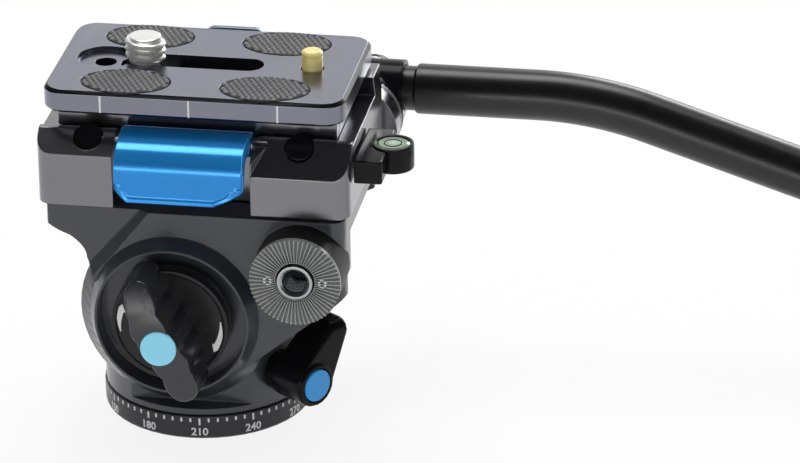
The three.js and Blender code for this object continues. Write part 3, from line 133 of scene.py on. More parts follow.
class Graph:
    """A node tree of any kind, filled by one method for nodes and one for maths."""

    def __init__(self, tree: bpy.types.NodeTree) -> None:
        """Keeps the tree."""
        self.tree = tree

    @staticmethod
    def _find(sockets: Sequence[bpy.types.NodeSocket], key: Union[int, str]) -> bpy.types.NodeSocket:
        """Finds a socket.

        Args:
            sockets: The inputs or the outputs of a node.
            key: The socket's place, its identifier or its name.

        Returns:
            The socket.
        """
        if isinstance(key, int):
            return sockets[key]
        for socket in sockets:
            if socket.identifier == key:
                return socket
        return next(socket for socket in sockets if socket.name == key and socket.enabled)

    def node(self, kind: str, settings: Optional[dict] = None,
             values: Optional[dict] = None) -> bpy.types.Node:
        """Adds a node.

        Args:
            kind: The node's type.
            settings: Its properties, set first.
            values: A number, colour or flow for each input, by place, identifier or name.

        Returns:
            The new node.
        """
        made = self.tree.nodes.new(kind)
        for name, value in (settings or {}).items():
            setattr(made, name, value)
        for key, value in (values or {}).items():
            socket = self._find(made.inputs, key)
            if isinstance(value, Flow):
                self.tree.links.new(value.socket, socket)
            else:
                socket.default_value = value
        return made

    def out(self, kind: str, settings: Optional[dict] = None, values: Optional[dict] = None,
            output: Union[int, str] = 0) -> Flow:
        """Adds a node and gives one of its outputs."""
        made = self.node(kind, settings, values)
        return Flow(self, self._find(made.outputs, output))

    def maths(self, operation: str, *operands: Value) -> Flow:
        """Adds a Math node for some values."""
        return self.out("ShaderNodeMath", {"operation": operation}, dict(enumerate(operands)))

    def vector_maths(self, operation: str, *operands: object) -> Flow:
        """Adds a Vector Math node whose output is a vector."""
        return self.out("ShaderNodeVectorMath", {"operation": operation}, dict(enumerate(operands)))

    def measured(self, operation: str, *operands: object) -> Flow:
        """Adds a Vector Math node whose output is a number."""
        return self.out("ShaderNodeVectorMath", {"operation": operation}, dict(enumerate(operands)), "Value")

    def parts(self, vector: Flow) -> tuple[Flow, ...]:
        """Splits a vector into its three values."""
        made = self.node("ShaderNodeSeparateXYZ", values={0: vector})
        return tuple(Flow(self, socket) for socket in made.outputs)

    def combined(self, x: Value = 0.0, y: Value = 0.0, z: Value = 0.0) -> Flow:
        """Joins three values into a vector."""
        return self.out("ShaderNodeCombineXYZ", values={"X": x, "Y": y, "Z": z})

    def clamped_range(self, value: Value, low: float, high: float, to_low: float, to_high: float) -> Flow:
        """Maps a value from one range onto another and keeps it inside."""
        return self.out("ShaderNodeMapRange", values={
            "Value": value, "From Min": low, "From Max": high, "To Min": to_low, "To Max": to_high,
        })


class SurfaceGraph(Graph):
    """The node graph of a material, with its Principled shader."""

    def __init__(self, name: str) -> None:
        """Makes an empty material.

        Args:
            name: The material's name.
        """
        self.material = bpy.data.materials.new(name)
        self.material.use_nodes = True
        super().__init__(self.material.node_tree)
        self.tree.nodes.clear()

    def place(self, centre: Sequence[float] = (0, 0, 0), scale: Sequence[float] = (1, 1, 1)) -> Flow:
        """Gives the object coordinates in millimetres.

        Args:
            centre: The point, in millimetres, that becomes the middle of the pattern.
            scale: How much each direction is stretched.

        Returns:
            The coordinates.
        """
        raw = self.out("ShaderNodeTexCoord", output="Object")
        factor = [part / MM for part in scale]
        shift = [-place * part for place, part in zip(centre, scale)]
        return self.out("ShaderNodeMapping", {"vector_type": "POINT"},
                        {"Vector": raw, "Location": shift, "Scale": factor})

    def noise(self, size: float, detail: float = 2.0, centre: Sequence[float] = (0, 0, 0),
              stretch: Sequence[float] = (1, 1, 1)) -> Flow:
        """Gives soft noise from 0 to 1 whose blotches are about as wide as size, in millimetres."""
        return self.out("ShaderNodeTexNoise", {"noise_dimensions": "3D"}, {
            "Vector": self.place(centre, stretch), "Scale": 1.0 / size, "Detail": detail,
        }, "Fac")

    def patches(self, size: float, detail: float, edges: Point2,
                stretch: Sequence[float] = (1, 1, 1)) -> Flow:
        """Gives noise that is 0 below the first edge and 1 above the second."""
        return self.clamped_range(self.noise(size, detail, stretch=stretch), *edges, 0.0, 1.0)

    def mixed(self, share: Value, first: object, second: object) -> Flow:
        """Mixes two colours."""
        return self.out("ShaderNodeMix", {"data_type": "RGBA"}, {
            "Factor_Float": share, "A_Color": first, "B_Color": second,
        }, "Result_Color")

    def bump(self, height: Flow, depth: float, soft_edge: float = 0.0) -> Flow:
        """Turns a height from 0 to 1 into a normal.

        Args:
            height: The height.
            depth: How deep it goes, in millimetres.
            soft_edge: The radius, in millimetres, by which the shading rounds sharp edges.

        Returns:
            The normal.
        """
        values = {"Height": height, "Distance": depth * MM, "Strength": 1.0}
        if soft_edge > 0:
            values["Normal"] = self.out("ShaderNodeBevel", {"samples": 6}, {"Radius": soft_edge * MM})
        return self.out("ShaderNodeBump", values=values, output="Normal")

    def finish(self, values: dict) -> bpy.types.Material:
        """Adds the Principled shader with its values and gives the material."""
        self.node("ShaderNodeOutputMaterial", values={
            "Surface": self.out("ShaderNodeBsdfPrincipled", values=values),
        })
        return self.material


def lighter(colour: Colour, factor: float) -> Colour:
    """Gives a colour whose parts are multiplied by a factor, at most 1."""
    return (*(min(1.0, part * factor) for part in colour[:3]), 1.0)


@dataclass(frozen=True)
class Finish:
    """What every finish has. A finish builds its material once."""

    name: str
    colour: Colour
    roughness: float
    metallic: float = 0.0
    soft_edge: float = 0.0
    depth: float = 0.0
    specular: float = 0.5
    coat: float = 0.0
    coat_roughness: float = 0.03
    glow: float = 0.0
    tones: Point2 = (1.0, 1.0)
    made: ClassVar[dict[str, bpy.types.Material]] = {}

    def material(self) -> bpy.types.Material:
        """Gives the finish's material and builds it on first use."""
        if self.name not in Finish.made:
            Finish.made[self.name] = self.build(SurfaceGraph(self.name))
        return Finish.made[self.name]

    def build(self, graph: SurfaceGraph) -> bpy.types.Material:
        """Builds the material in its empty graph."""
        raise NotImplementedError

    def finished(self, graph: SurfaceGraph, share: Value, gloss: Flow,
                 height: Optional[Flow] = None) -> bpy.types.Material:
        """Closes the graph of the material.

        Args:
            graph: The graph.
            share: How much of the second tone shows, from 0 to 1.
            gloss: The roughness.
            height: The fine relief, from 0 to 1.

        Returns:
            The material.
        """
        tint = graph.mixed(share, *(lighter(self.colour, tone) for tone in self.tones))
        values = {
            "Base Color": tint, "Roughness": gloss, "Metallic": self.metallic,
            "Specular IOR Level": self.specular,
            "Coat Weight": self.coat, "Coat Roughness": self.coat_roughness,
        }
        if height is not None:
            values["Normal"] = graph.bump(height, self.depth, self.soft_edge)
        # The emission here is a painted glow: the surface shines though it is no lamp.
        if self.glow > 0:
            values.update({"Emission Color": tint, "Emission Strength": self.glow})
        return graph.finish(values)


@dataclass(frozen=True)
class Painted(Finish):
    """Satin paint over cast metal: a fine grain, faint blotches and a slightly uneven gloss."""

    depth: float = 0.012
    coat_roughness: float = 0.12
    tones: Point2 = (0.85, 1.15)
    grain: float = 0.35
    grain_gloss: float = 0.08
    smear: float = 4.0
    smear_gloss: float = 0.14
    blotch: float = 9.0

    def build(self, graph: SurfaceGraph) -> bpy.types.Material:
        """Builds the material.

        Args:
            graph: Its empty graph.

        Returns:
            The material.
        """
        grain = graph.noise(self.grain, 2.0)
        smear = graph.noise(self.smear, 4.0, stretch=(1.0, 1.0, 0.4))
        gloss = self.roughness + (smear - 0.5) * self.smear_gloss + (grain - 0.5) * self.grain_gloss
        return self.finished(graph, graph.noise(self.blotch, 3.0), gloss, grain)


@dataclass(frozen=True)
class Anodised(Finish):
    """Anodised metal with a fine grain drawn out along one direction and a few faint rub marks."""

    depth: float = 0.0016
    coat_roughness: float = 0.08
    tones: Point2 = (0.92, 1.08)
    along: tuple[float, float, float] = (0.05, 1.0, 1.0)
    grain: float = 0.12
    grain_gloss: float = 0.1
    cloud: float = 14.0
    cloud_gloss: float = 0.06
    rub: float = 1.6
    rub_edges: Point2 = (0.6, 0.75)
    rub_gloss: float = 0.04

    def build(self, graph: SurfaceGraph) -> bpy.types.Material:
        """Builds the material.

        Args:
            graph: Its empty graph.

        Returns:
            The material.
        """
        grain = graph.noise(self.grain, 2.0, stretch=self.along)
        cloud = graph.noise(self.cloud, 2.0)
        rub = graph.patches(self.rub, 5.0, self.rub_edges, (0.25, 1.0, 1.0)) * self.rub_gloss
        gloss = self.roughness + (grain - 0.5) * self.grain_gloss + (cloud - 0.5) * self.cloud_gloss + rub
        return self.finished(graph, cloud, gloss, grain)


@dataclass(frozen=True)
class Turned(Finish):
    """Metal cut on a lathe: fine grooves round an axis through centre, in millimetres."""

    depth: float = 0.003
    tones: Point2 = (0.86, 1.1)
    centre: tuple[float, float, float] = (0.0, 0.0, 0.0)
    axis: str = "z"
    pitch: float = 0.16
    groove_gloss: float = 0.03
    tone: float = 3.0
    tone_gloss: float = 0.12

    def build(self, graph: SurfaceGraph) -> bpy.types.Material:
        """Builds the material.

        Args:
            graph: Its empty graph.

        Returns:
            The material.
        """
        flat = tuple(0.0 if letter == self.axis else 1.0 for letter in "xyz")
        place = graph.place(self.centre)
        across = graph.measured("LENGTH", graph.vector_maths("MULTIPLY", place, flat))
        along = graph.measured("DOT_PRODUCT", place, tuple(1.0 - part for part in flat))
        groove = graph.maths("SINE", (across + along) * (2.0 * math.pi / self.pitch))
        tone = graph.noise(self.tone, 3.0, self.centre)
        gloss = self.roughness + groove * self.groove_gloss + (tone - 0.5) * self.tone_gloss
        return self.finished(graph, tone, gloss, groove * 0.5 + 0.5)


@dataclass(frozen=True)
class Moulded(Finish):
    """Moulded plastic: a faint orange peel, thin scuffs and a little dust in the gloss."""

    depth: float = 0.006
    coat_roughness: float = 0.05
    tones: Point2 = (1.0, 1.35)
    peel: float = 0.9
    dust: float = 0.25
    dust_tint: float = 0.35
    dust_gloss: float = 0.07
    scuff: float = 2.2
    scuff_edges: Point2 = (0.58, 0.72)
    scuff_gloss: float = 0.1

    def build(self, graph: SurfaceGraph) -> bpy.types.Material:
        """Builds the material.

        Args:
            graph: Its empty graph.

        Returns:
            The material.
        """
        dust = graph.noise(self.dust, 4.0)
        scuff = graph.patches(self.scuff, 6.0, self.scuff_edges, (1.0, 0.3, 0.6))
        gloss = self.roughness + (dust - 0.5) * self.dust_gloss + scuff * self.scuff_gloss
        return self.finished(graph, dust * self.dust_tint, gloss, graph.noise(self.peel, 1.0))


@dataclass(frozen=True)
class Rubber(Finish):
    """Rubber: matt, finely pebbled, with paler dust in random patches."""

    depth: float = 0.02
    tones: Point2 = (0.8, 1.5)
    pebble: float = 0.22
    wear: float = 5.0
    wear_gloss: float = 0.15

    def build(self, graph: SurfaceGraph) -> bpy.types.Material:
        """Builds the material.

        Args:
            graph: Its empty graph.

        Returns:
            The material.
        """
        pebble = graph.out("ShaderNodeTexVoronoi", {"feature": "F1"},
                           {"Vector": graph.place(), "Scale": 1.0 / self.pebble}, "Distance")
        wear = graph.noise(self.wear, 4.0)
        return self.finished(graph, wear, self.roughness + (wear - 0.5) * self.wear_gloss, 1.0 - pebble)


@dataclass(frozen=True)
class Printed(Finish):
    """Printed ink with slightly uneven cover."""

    tones: Point2 = (0.78, 1.0)
    fleck: float = 0.3
    fleck_edges: Point2 = (0.3, 0.55)
    cover_gloss: float = 0.08

    def build(self, graph: SurfaceGraph) -> bpy.types.Material:
        """Builds the material in its empty graph."""
        cover = graph.patches(self.fleck, 3.0, self.fleck_edges)
        return self.finished(graph, cover, self.roughness + cover * self.cover_gloss)


@dataclass(frozen=True)
class Fluid(Finish):
    """The tinted fluid and glass of a level, a little darker towards its rim, with a faint painted glow."""

    coat: float = 1.0
    coat_roughness: float = 0.02
    glow: float = 0.05
    tones: Point2 = (1.25, 0.6)
    centre: tuple[float, float, float] = (0.0, 0.0, 0.0)
    radius: float = 4.0
    clear_share: float = 0.2
    swirl: float = 0.8
    swirl_gloss: float = 0.04

    def build(self, graph: SurfaceGraph) -> bpy.types.Material:
        """Builds the material.

        Args:
            graph: Its empty graph.

        Returns:
            The material.
        """
        off_axis = graph.measured("LENGTH", graph.place(self.centre, (1.0, 1.0, 0.0)))
        share = graph.clamped_range(off_axis, self.clear_share * self.radius, self.radius, 0.0, 1.0)
        return self.finished(graph, share, self.roughness + graph.noise(self.swirl, 2.0) * self.swirl_gloss)


class Form:
    """A surface in millimetres, built in its own frame, with Z as the axis of what is turned."""

    def __init__(self) -> None:
        """Starts with an empty mesh."""
        self.mesh = bmesh.new()

    def skin(self, rings: Sequence[Sequence[Vector]], caps: bool = True, closed: bool = False) -> "Form":
        """Joins rings of points by faces.

        Args:
            rings: Rings of the same number of points, or of one point for a pole.
            caps: Whether the first and the last ring get a face each.
            closed: Whether the last ring joins the first.

        Returns:
            The form itself.
        """
        rows = [[self.mesh.verts.new(point) for point in ring] for ring in rings]
        pairs = list(zip(rows, rows[1:]))
        if closed:
            pairs.append((rows[-1], rows[0]))
        for low, high in pairs:
            count = max(len(low), len(high))
            for index in range(count):
                after = (index + 1) % count
                corners = [low[index % len(low)], low[after % len(low)],
                           high[after % len(high)], high[index % len(high)]]
                unique = list(dict.fromkeys(corners))
                if len(unique) > 2:
                    self.mesh.faces.new(unique)
        if caps and not closed:
            for ring in (rows[0], rows[-1]):
                if len(ring) > 2:
                    self.mesh.faces.new(ring)
        return self

    def turned(self, profile: Sequence[Point2], sides: int = 96, closed: bool = False) -> "Form":
        """Turns a profile of radius and height about Z.

        Args:
            profile: The points, from one end to the other.
            sides: How many faces go round.
            closed: Whether the profile closes on itself, as a ring's does.

        Returns:
            The form itself.
        """
        rings = []
        for radius, height in profile:
            count = 1 if radius < 1e-6 else sides
            rings.append([
                Vector((radius * math.cos(angle), radius * math.sin(angle), height))
                for angle in (2 * math.pi * index / sides for index in range(count))
            ])
        return self.skin(rings, caps=not closed, closed=closed)

    def slab(self, outline: Sequence[Point2], low: float, high: float, edge: float = 0.0,
             steps: int = 3, low_edge: Optional[float] = None) -> "Form":
        """Raises an outline from low to high with rounded edges.

        Args:
            outline: The outline, counter-clockwise.
            low: The height of the lower face.
            high: The height of the upper face.
            edge: The radius of the upper edge.
            steps: How many steps round an edge.
            low_edge: The radius of the lower edge, by default that of the upper one.

        Returns:
            The form itself.
        """
        bottom = edge if low_edge is None else low_edge
        rings = []
        for index in range(steps + 1):
            turn = math.pi / 2 * index / steps
            line = inset(outline, bottom * (1 - math.sin(turn)))
            rings.append(ring_at(line, low + bottom * (1 - math.cos(turn))))
        for index in range(steps + 1):
            turn = math.pi / 2 * index / steps
            line = inset(outline, edge * (1 - math.cos(turn)))
            rings.append(ring_at(line, high - edge * (1 - math.sin(turn))))
        return self.skin(rings)

    def piece(self, name: str, place: Matrix, finish: Finish,
              sharp: float = SHARP_ANGLE) -> Piece:
        """Places the surface in the frame of the part and makes an object of it.

        Args:
            name: The object's name.
            place: From the form's own frame to that of the part, in millimetres.
            finish: The finish of the surface.
            sharp: The angle, in degrees, above which an edge stays sharp.

        Returns:
            The new object, at the origin.
        """
        bmesh.ops.remove_doubles(self.mesh, verts=self.mesh.verts, dist=1e-4)
        bmesh.ops.recalc_face_normals(self.mesh, faces=self.mesh.faces)
        data = bpy.data.meshes.new(name)
        self.mesh.to_mesh(data)
        self.mesh.free()
        return made_object(name, data, finish, Matrix.Scale(MM, 4) @ place, sharp)


def made_object(name: str, data: bpy.types.Mesh, finish: Optional[Finish], place: Matrix,
                sharp: float) -> Piece:
    """Makes an object at the origin from a mesh, with its place put in the mesh.

    Args:
        name: The object's name.
        data: The mesh.
        finish: Its finish, or none where it has one.
        place: From the mesh's own frame to that of the part.
        sharp: The angle, in degrees, above which an edge stays sharp.

    Returns:
        The new object.
    """
    data.transform(place)
    if place.determinant() < 0:
        data.flip_normals()
    data.shade_smooth()
    data.set_sharp_from_angle(angle=math.radians(sharp))
    if finish is not None:
        data.materials.clear()
        data.materials.append(finish.material())
    made = bpy.data.objects.new(name, data)
    bpy.context.scene.collection.objects.link(made)
    return made


def flat_regions(shape: bmesh.types.BMesh, limit: float = 0.6) -> list[int]:
    """Numbers the flat regions of a mesh of triangles.

    Args:
        shape: The mesh.
        limit: The angle, in degrees, up to which two neighbours lie in one region.

    Returns:
        The region of each face.
    """
    regions = [-1] * len(shape.faces)
    for first in shape.faces:
        if regions[first.index] >= 0:
            continue
        regions[first.index] = first.index
        waiting = [first]
        while waiting:
            face = waiting.pop()
            for edge in face.edges:
                for other in edge.link_faces:
                    bend = face.normal.angle(other.normal, math.pi)
                    if regions[other.index] < 0 and bend < math.radians(limit):
                        regions[other.index] = first.index
                        waiting.append(other)
    return regions


def even_shading(data: bpy.types.Mesh, sharp: float, soft: float = 16.0, slim: float = 2.5) -> None:
    """Shades each flat region evenly and each curved one smoothly.

    Args:
        data: A mesh of merged triangles.
        sharp: The angle, in degrees, above which two faces don't blend.
        soft: The angle above which two faces blend only if one belongs to a slim region.
        slim: The width, in millimetres, under which a region counts as slim.
    """
    shape = bmesh.new()
    shape.from_mesh(data)
    shape.faces.index_update()
    regions = flat_regions(shape)
    areas = dict.fromkeys(regions, 0.0)
    rims = dict.fromkeys(regions, LEAST_RIM)
    for face in shape.faces:
        home = regions[face.index]
        areas[home] += face.calc_area()
        for edge in face.edges:
            if any(regions[other.index] != home for other in edge.link_faces):
                rims[home] += edge.calc_length()
    widths = {region: 2 * areas[region] / rims[region] / MM for region in areas}
    normals = []
    for face in shape.faces:
        for loop in face.loops:
            blend = face.normal * LEAST_BLEND
            counted = set()
            for other in loop.vert.link_faces:
                region = regions[other.index]
                width = min(widths[region], widths[regions[face.index]])
                limit = sharp if width < slim else soft
                if region in counted or face.normal.angle(other.normal, math.pi) > math.radians(limit):
                    continue
                counted.add(region)
                blend = blend + other.normal * (areas[region] / MM ** 2) ** 2
            normals.append(blend.normalized())
    shape.free()
    data.normals_split_custom_set(normals)


def tint_faces(piece: Piece, finish: Finish, chosen: FaceTest) -> None:
    """Gives some faces of a piece a finish of their own.

    Args:
        piece: The piece.
        finish: The second finish.
        chosen: Says yes or no for a face's centre, in millimetres, and its normal.
    """
    piece.data.materials.append(finish.material())
    slot = len(piece.data.materials) - 1
    for face in piece.data.polygons:
        if chosen(face.center / MM, face.normal):
            face.material_index = slot


def on_drum(axis: Vector, radius: float, reach: float = 0.25, least: float = 0.96) -> FaceTest:
    """Gives a test for the faces on the curved side of a drum whose axis runs along Y.

    Args:
        axis: A point of the axis, in millimetres.
        radius: The drum's radius.
        reach: How far from that radius a face's centre may lie.
        least: The least cosine between a face's normal and the direction out of the axis.

    Returns:
        The test.
    """
    def test(centre: Vector, normal: Vector) -> bool:
        """Says whether a face lies on the drum's curved side."""
        arm = Vector((centre.x - axis.x, 0, centre.z - axis.z))
        return abs(arm.length - radius) < reach and normal.dot(arm.normalized()) > least
    return test


def ring_at(outline: Sequence[Point2], height: float) -> list[Vector]:
    """Lifts an outline to a height."""
    return [Vector((x, y, height)) for x, y in outline]


def inset(outline: Sequence[Point2], distance: float, least: float = 0.4) -> list[Point2]:
    """Moves each point of a counter-clockwise outline inwards.

    Args:
        outline: The outline.
        distance: How far it moves.
        least: What keeps a sharp corner near: it moves by at most the distance over this value.

    Returns:
        The new outline.
    """
    if distance == 0:
        return list(outline)
    moved = []
    count = len(outline)
    for index, (x, y) in enumerate(outline):
        before = Vector(outline[index - 1])
        here = Vector((x, y))
        after = Vector(outline[(index + 1) % count])
        into = (here - before).normalized()
        out_of = (after - here).normalized()
        normal = Vector((-(into.y + out_of.y), into.x + out_of.x))
        if normal.length < 1e-6:
            normal = Vector((-into.y, into.x))
        normal.normalize()
        spread = max(least, normal.dot(Vector((-into.y, into.x))))
        moved.append((x + normal.x * distance / spread, y + normal.y * distance / spread))
    return moved


def filleted(points: Sequence[tuple[float, ...]], steps: int = 4, closed: bool = False) -> list[Point2]:
    """Rounds the corners of a line of points.

    Args:
        points: Pairs, or triples whose third value is the radius of the corner.
        steps: How many steps each rounding has.
        closed: Whether the line closes on itself.

    Returns:
        The line with its roundings.
    """
    line: list[Point2] = []
    count = len(points)
    for index, point in enumerate(points):
        corner = Vector(point[:2])
        radius = point[2] if len(point) > 2 else 0.0
        is_end = not closed and index in (0, count - 1)
        if radius <= 0 or is_end:
            line.append((corner.x, corner.y))
            continue
        back = Vector(points[index - 1][:2]) - corner
        ahead = Vector(points[(index + 1) % count][:2]) - corner
        half = back.angle(ahead) / 2
        reach = min(radius / math.tan(half), 0.49 * back.length, 0.49 * ahead.length)
        start = corner + back.normalized() * reach
        end = corner + ahead.normalized() * reach
        for step in range(steps + 1):
            share = step / steps
            place = start * (1 - share) ** 2 + corner * 2 * share * (1 - share) + end * share ** 2
            line.append((place.x, place.y))
    return line


def ellipse(half_length: float, half_width: float, count: int = 72) -> list[Point2]:
    """Gives an ellipse's points, counter-clockwise."""
    return [(half_length * math.cos(2 * math.pi * index / count),
             half_width * math.sin(2 * math.pi * index / count)) for index in range(count)]


def placed(origin: Sequence[float], axis: Sequence[float], across: Sequence[float]) -> Matrix:
    """Gives the placement of a form.

    Args:
        origin: Where the form's origin goes, in millimetres.
        axis: The direction that the form's Z takes.
        across: The direction that the form's X takes.

    Returns:
        The matrix from the form's frame to that of the part.
    """
    along = Vector(axis).normalized()
    first = (Vector(across) - along * Vector(across).dot(along)).normalized()
    second = along.cross(first)
    turn = Matrix((first, second, along)).transposed().to_4x4()
    return Matrix.Translation(Vector(origin)) @ turn


UPRIGHT = Matrix.Identity(4)


def facing(side: Side, x: float, z: float) -> Matrix:
    """Places a form whose Z points out of the near or the far side, at X and Z on the plane Y = 0."""
    return placed((x, 0, z), (0, side.value, 0), (1, 0, 0))


class GeometryTree(Graph):
    """A Geometry Nodes tree with named inputs that ends in Realize Instances and Set Material."""

    KINDS: ClassVar[dict[type, str]] = {
        float: "NodeSocketFloat", int: "NodeSocketInt", tuple: "NodeSocketVector",
    }

    def __init__(self, name: str, inputs: dict[str, type]) -> None:
        """Makes the tree.

        Args:
            name: The tree's name.
            inputs: The kind of each named input.
        """
        super().__init__(bpy.data.node_groups.new(name, "GeometryNodeTree"))
        self.tree.interface.new_socket("Geometry", in_out="OUTPUT", socket_type="NodeSocketGeometry")
        self.identifiers: dict[str, str] = {}
        for label, kind in inputs.items():
            made = self.tree.interface.new_socket(label, in_out="INPUT", socket_type=self.KINDS[kind])
            self.identifiers[label] = made.identifier
        made = self.tree.interface.new_socket("Material", in_out="INPUT", socket_type="NodeSocketMaterial")
        self.identifiers["Material"] = made.identifier
        self.entry = self.node("NodeGroupInput")

    def __getitem__(self, label: str) -> Flow:
        """Gives a named input."""
        return Flow(self, self._find(self.entry.outputs, label))

    def upward(self, height: Value) -> Flow:
        """Gives a vector along Z."""
        return self.combined(0.0, 0.0, height)

    def each_turn(self) -> Flow:
        """Gives each point its angle where Count points share a full turn."""
        return self.out("GeometryNodeInputIndex") * (2 * math.pi) / self["Count"]

    def on_circle(self, radius: Value, angle: Flow, height: Value) -> Flow:
        """Gives a place on a circle about Z."""
        return self.combined(radius * self.maths("COSINE", angle), radius * self.maths("SINE", angle), height)

    def points(self, count: Value, position: object) -> Flow:
        """Adds points."""
        return self.out("GeometryNodePoints", values={"Count": count, "Position": position})

    def ring(self, sides: Value, radius: Value) -> Flow:
        """Adds a circle as a curve."""
        return self.out("GeometryNodeCurvePrimitiveCircle", {"mode": "RADIUS"},
                        {"Resolution": sides, "Radius": radius})

    def swept(self, curve: Flow, profile: Flow, caps: bool = True) -> Flow:
        """Sweeps a profile along a curve."""
        return self.out("GeometryNodeCurveToMesh", values={
            "Curve": curve, "Profile Curve": profile, "Fill Caps": caps,
        })

    def cylinder(self, sides: int, radius: Value, depth: Value) -> Flow:
        """Adds a cylinder about Z."""
        return self.out("GeometryNodeMeshCylinder", values={
            "Vertices": sides, "Radius": radius, "Depth": depth,
        }, output="Mesh")

    def lifted(self, geometry: Flow, height: Value) -> Flow:
        """Moves a geometry along Z."""
        return self.out("GeometryNodeTransform", values={
            "Geometry": geometry, "Translation": self.upward(height),
        })

    def instanced(self, points: Flow, instance: Flow, rotation: Optional[Flow] = None,
                  scale: Optional[Flow] = None) -> Flow:
        """Puts an instance on each point.

        Args:
            points: The points.
            instance: What is put there.
            rotation: The Euler angles of each.
            scale: The scale of each.

        Returns:
            The instances.
        """
        values = {"Points": points, "Instance": instance}
        if rotation is not None:
            values["Rotation"] = self.out("FunctionNodeEulerToRotation", values={"Euler": rotation})
        if scale is not None:
            values["Scale"] = scale
        return self.out("GeometryNodeInstanceOnPoints", values=values)

    def close(self, geometry: Flow) -> "GeometryTree":
        """Ends the tree.

        Args:
            geometry: What the tree makes.

        Returns:
            The tree itself.
        """
        values = {
            "Geometry": self.out("GeometryNodeRealizeInstances", values={0: geometry}),
            "Material": self["Material"],
        }
        self.node("NodeGroupOutput", values={0: self.out("GeometryNodeSetMaterial", values=values)})
        return self

    def grow(self, name: str, finish: Finish, place: Matrix, values: dict,
             sharp: float = SHARP_ANGLE) -> Piece:
        """Evaluates the tree with some values and makes a plain mesh object of the result.

        Args:
            name: The object's name.
            finish: The finish that Set Material gives.
            place: From the tree's frame to that of the part, in millimetres.
            values: The value of each named input.
            sharp: The angle, in degrees, above which an edge stays sharp.

        Returns:
            The new object, at the origin.
        """
        host = bpy.data.objects.new(name + "_host", bpy.data.meshes.new(name + "_host"))
        bpy.context.scene.collection.objects.link(host)
        modifier = host.modifiers.new("grow", "NODES")
        modifier.node_group = self.tree
        for label, value in {**values, "Material": finish.material()}.items():
            modifier[self.identifiers[label]] = value
        evaluated = host.evaluated_get(bpy.context.evaluated_depsgraph_get())
        data = bpy.data.meshes.new_from_object(evaluated)
        bpy.data.objects.remove(host)
        data.name = name
        return made_object(name, data, None, Matrix.Scale(MM, 4) @ place, sharp)


def tick_ring_tree() -> GeometryTree:
    """Makes the tree of a ring of printed ticks, each nth of them longer.

    Returns:
        The tree.
    """
    tree = GeometryTree("tick_ring", {
        "Radius": float, "Top": float, "Count": int, "Start": float, "Every": int,
        "Width": float, "Short": float, "Long": float, "Cover": float,
    })
    angle = tree["Start"] + tree.each_turn()
    step = tree.maths("MODULO", tree.out("GeometryNodeInputIndex"), tree["Every"])
    is_long = tree.maths("LESS_THAN", step, 0.5)
    length = tree["Short"] + is_long * (tree["Long"] - tree["Short"])
    position = tree.on_circle(tree["Radius"], angle, tree["Top"] - length * 0.5)
    tick = tree.out("GeometryNodeMeshCube", values={
        "Size": tree.combined(tree["Cover"], tree["Width"], 1.0),
    })
    return tree.close(tree.instanced(
        tree.points(tree["Count"], position), tick,
        tree.upward(angle), tree.combined(1.0, 1.0, length),
    ))


def tooth_ring_tree() -> GeometryTree:
    """Makes the tree of a ring of radial teeth that widen outwards.

    Returns:
        The tree.
    """
    tree = GeometryTree("tooth_ring", {
        "Inner": float, "Outer": float, "Base": float, "Height": float, "Count": int, "Crest": float,
    })
    cube = tree.out("GeometryNodeMeshCube", values={"Size": (1.0, 1.0, 1.0)})
    along, across, up = tree.parts(tree.out("GeometryNodeInputPosition"))
    radius = tree["Inner"] + (along + 0.5) * (tree["Outer"] - tree["Inner"])
    width = radius * (2 * math.pi) / tree["Count"]
    taper = 1.0 - (up + 0.5) * (1.0 - tree["Crest"])
    shaped = tree.out("GeometryNodeSetPosition", values={
        "Geometry": cube,
        "Position": tree.combined(radius, across * width * taper, tree["Base"] + (up + 0.5) * tree["Height"]),
    })
    points = tree.points(tree["Count"], (0.0, 0.0, 0.0))
    return tree.close(tree.instanced(points, shaped, tree.upward(tree.each_turn())))


def cross_hatch_tree(top: float = 0.22, foot: float = 0.54) -> GeometryTree:
    """Makes the tree of small pyramids on a slanted grid, kept inside an ellipse.

    Args:
        top: The radius of a pyramid's top, as a share of the pitch.
        foot: The radius of its foot.

    Returns:
        The tree.
    """
    tree = GeometryTree("cross_hatch", {
        "Half Length": float, "Half Width": float, "Rows": int, "Pitch": float, "Slant": float,
        "Base": float, "Height": float, "Turn": float,
    })
    side = tree["Pitch"] * (tree["Rows"] - 1.0)
    grid = tree.out("GeometryNodeMeshGrid", values={
        "Size X": side, "Size Y": side, "Vertices X": tree["Rows"], "Vertices Y": tree["Rows"],
    })
    across, up, _ = tree.parts(tree.out("GeometryNodeInputPosition"))
    slanted = tree.out("GeometryNodeSetPosition", values={
        "Geometry": grid, "Position": tree.combined(across + up * tree["Slant"], up, tree["Base"]),
    })
    x, y, _ = tree.parts(tree.out("GeometryNodeInputPosition"))
    length, width = tree["Half Length"], tree["Half Width"]
    share = x * x / (length * length) + y * y / (width * width)
    kept = tree.out("GeometryNodeDeleteGeometry", {"domain": "POINT"}, {
        "Geometry": slanted, "Selection": tree.maths("GREATER_THAN", share, 1.0),
    })
    pyramid = tree.out("GeometryNodeMeshCone", values={
        "Vertices": 4, "Radius Top": tree["Pitch"] * top, "Radius Bottom": tree["Pitch"] * foot,
        "Depth": tree["Height"],
    })
    return tree.close(tree.instanced(kept, pyramid, tree.upward(tree["Turn"])))


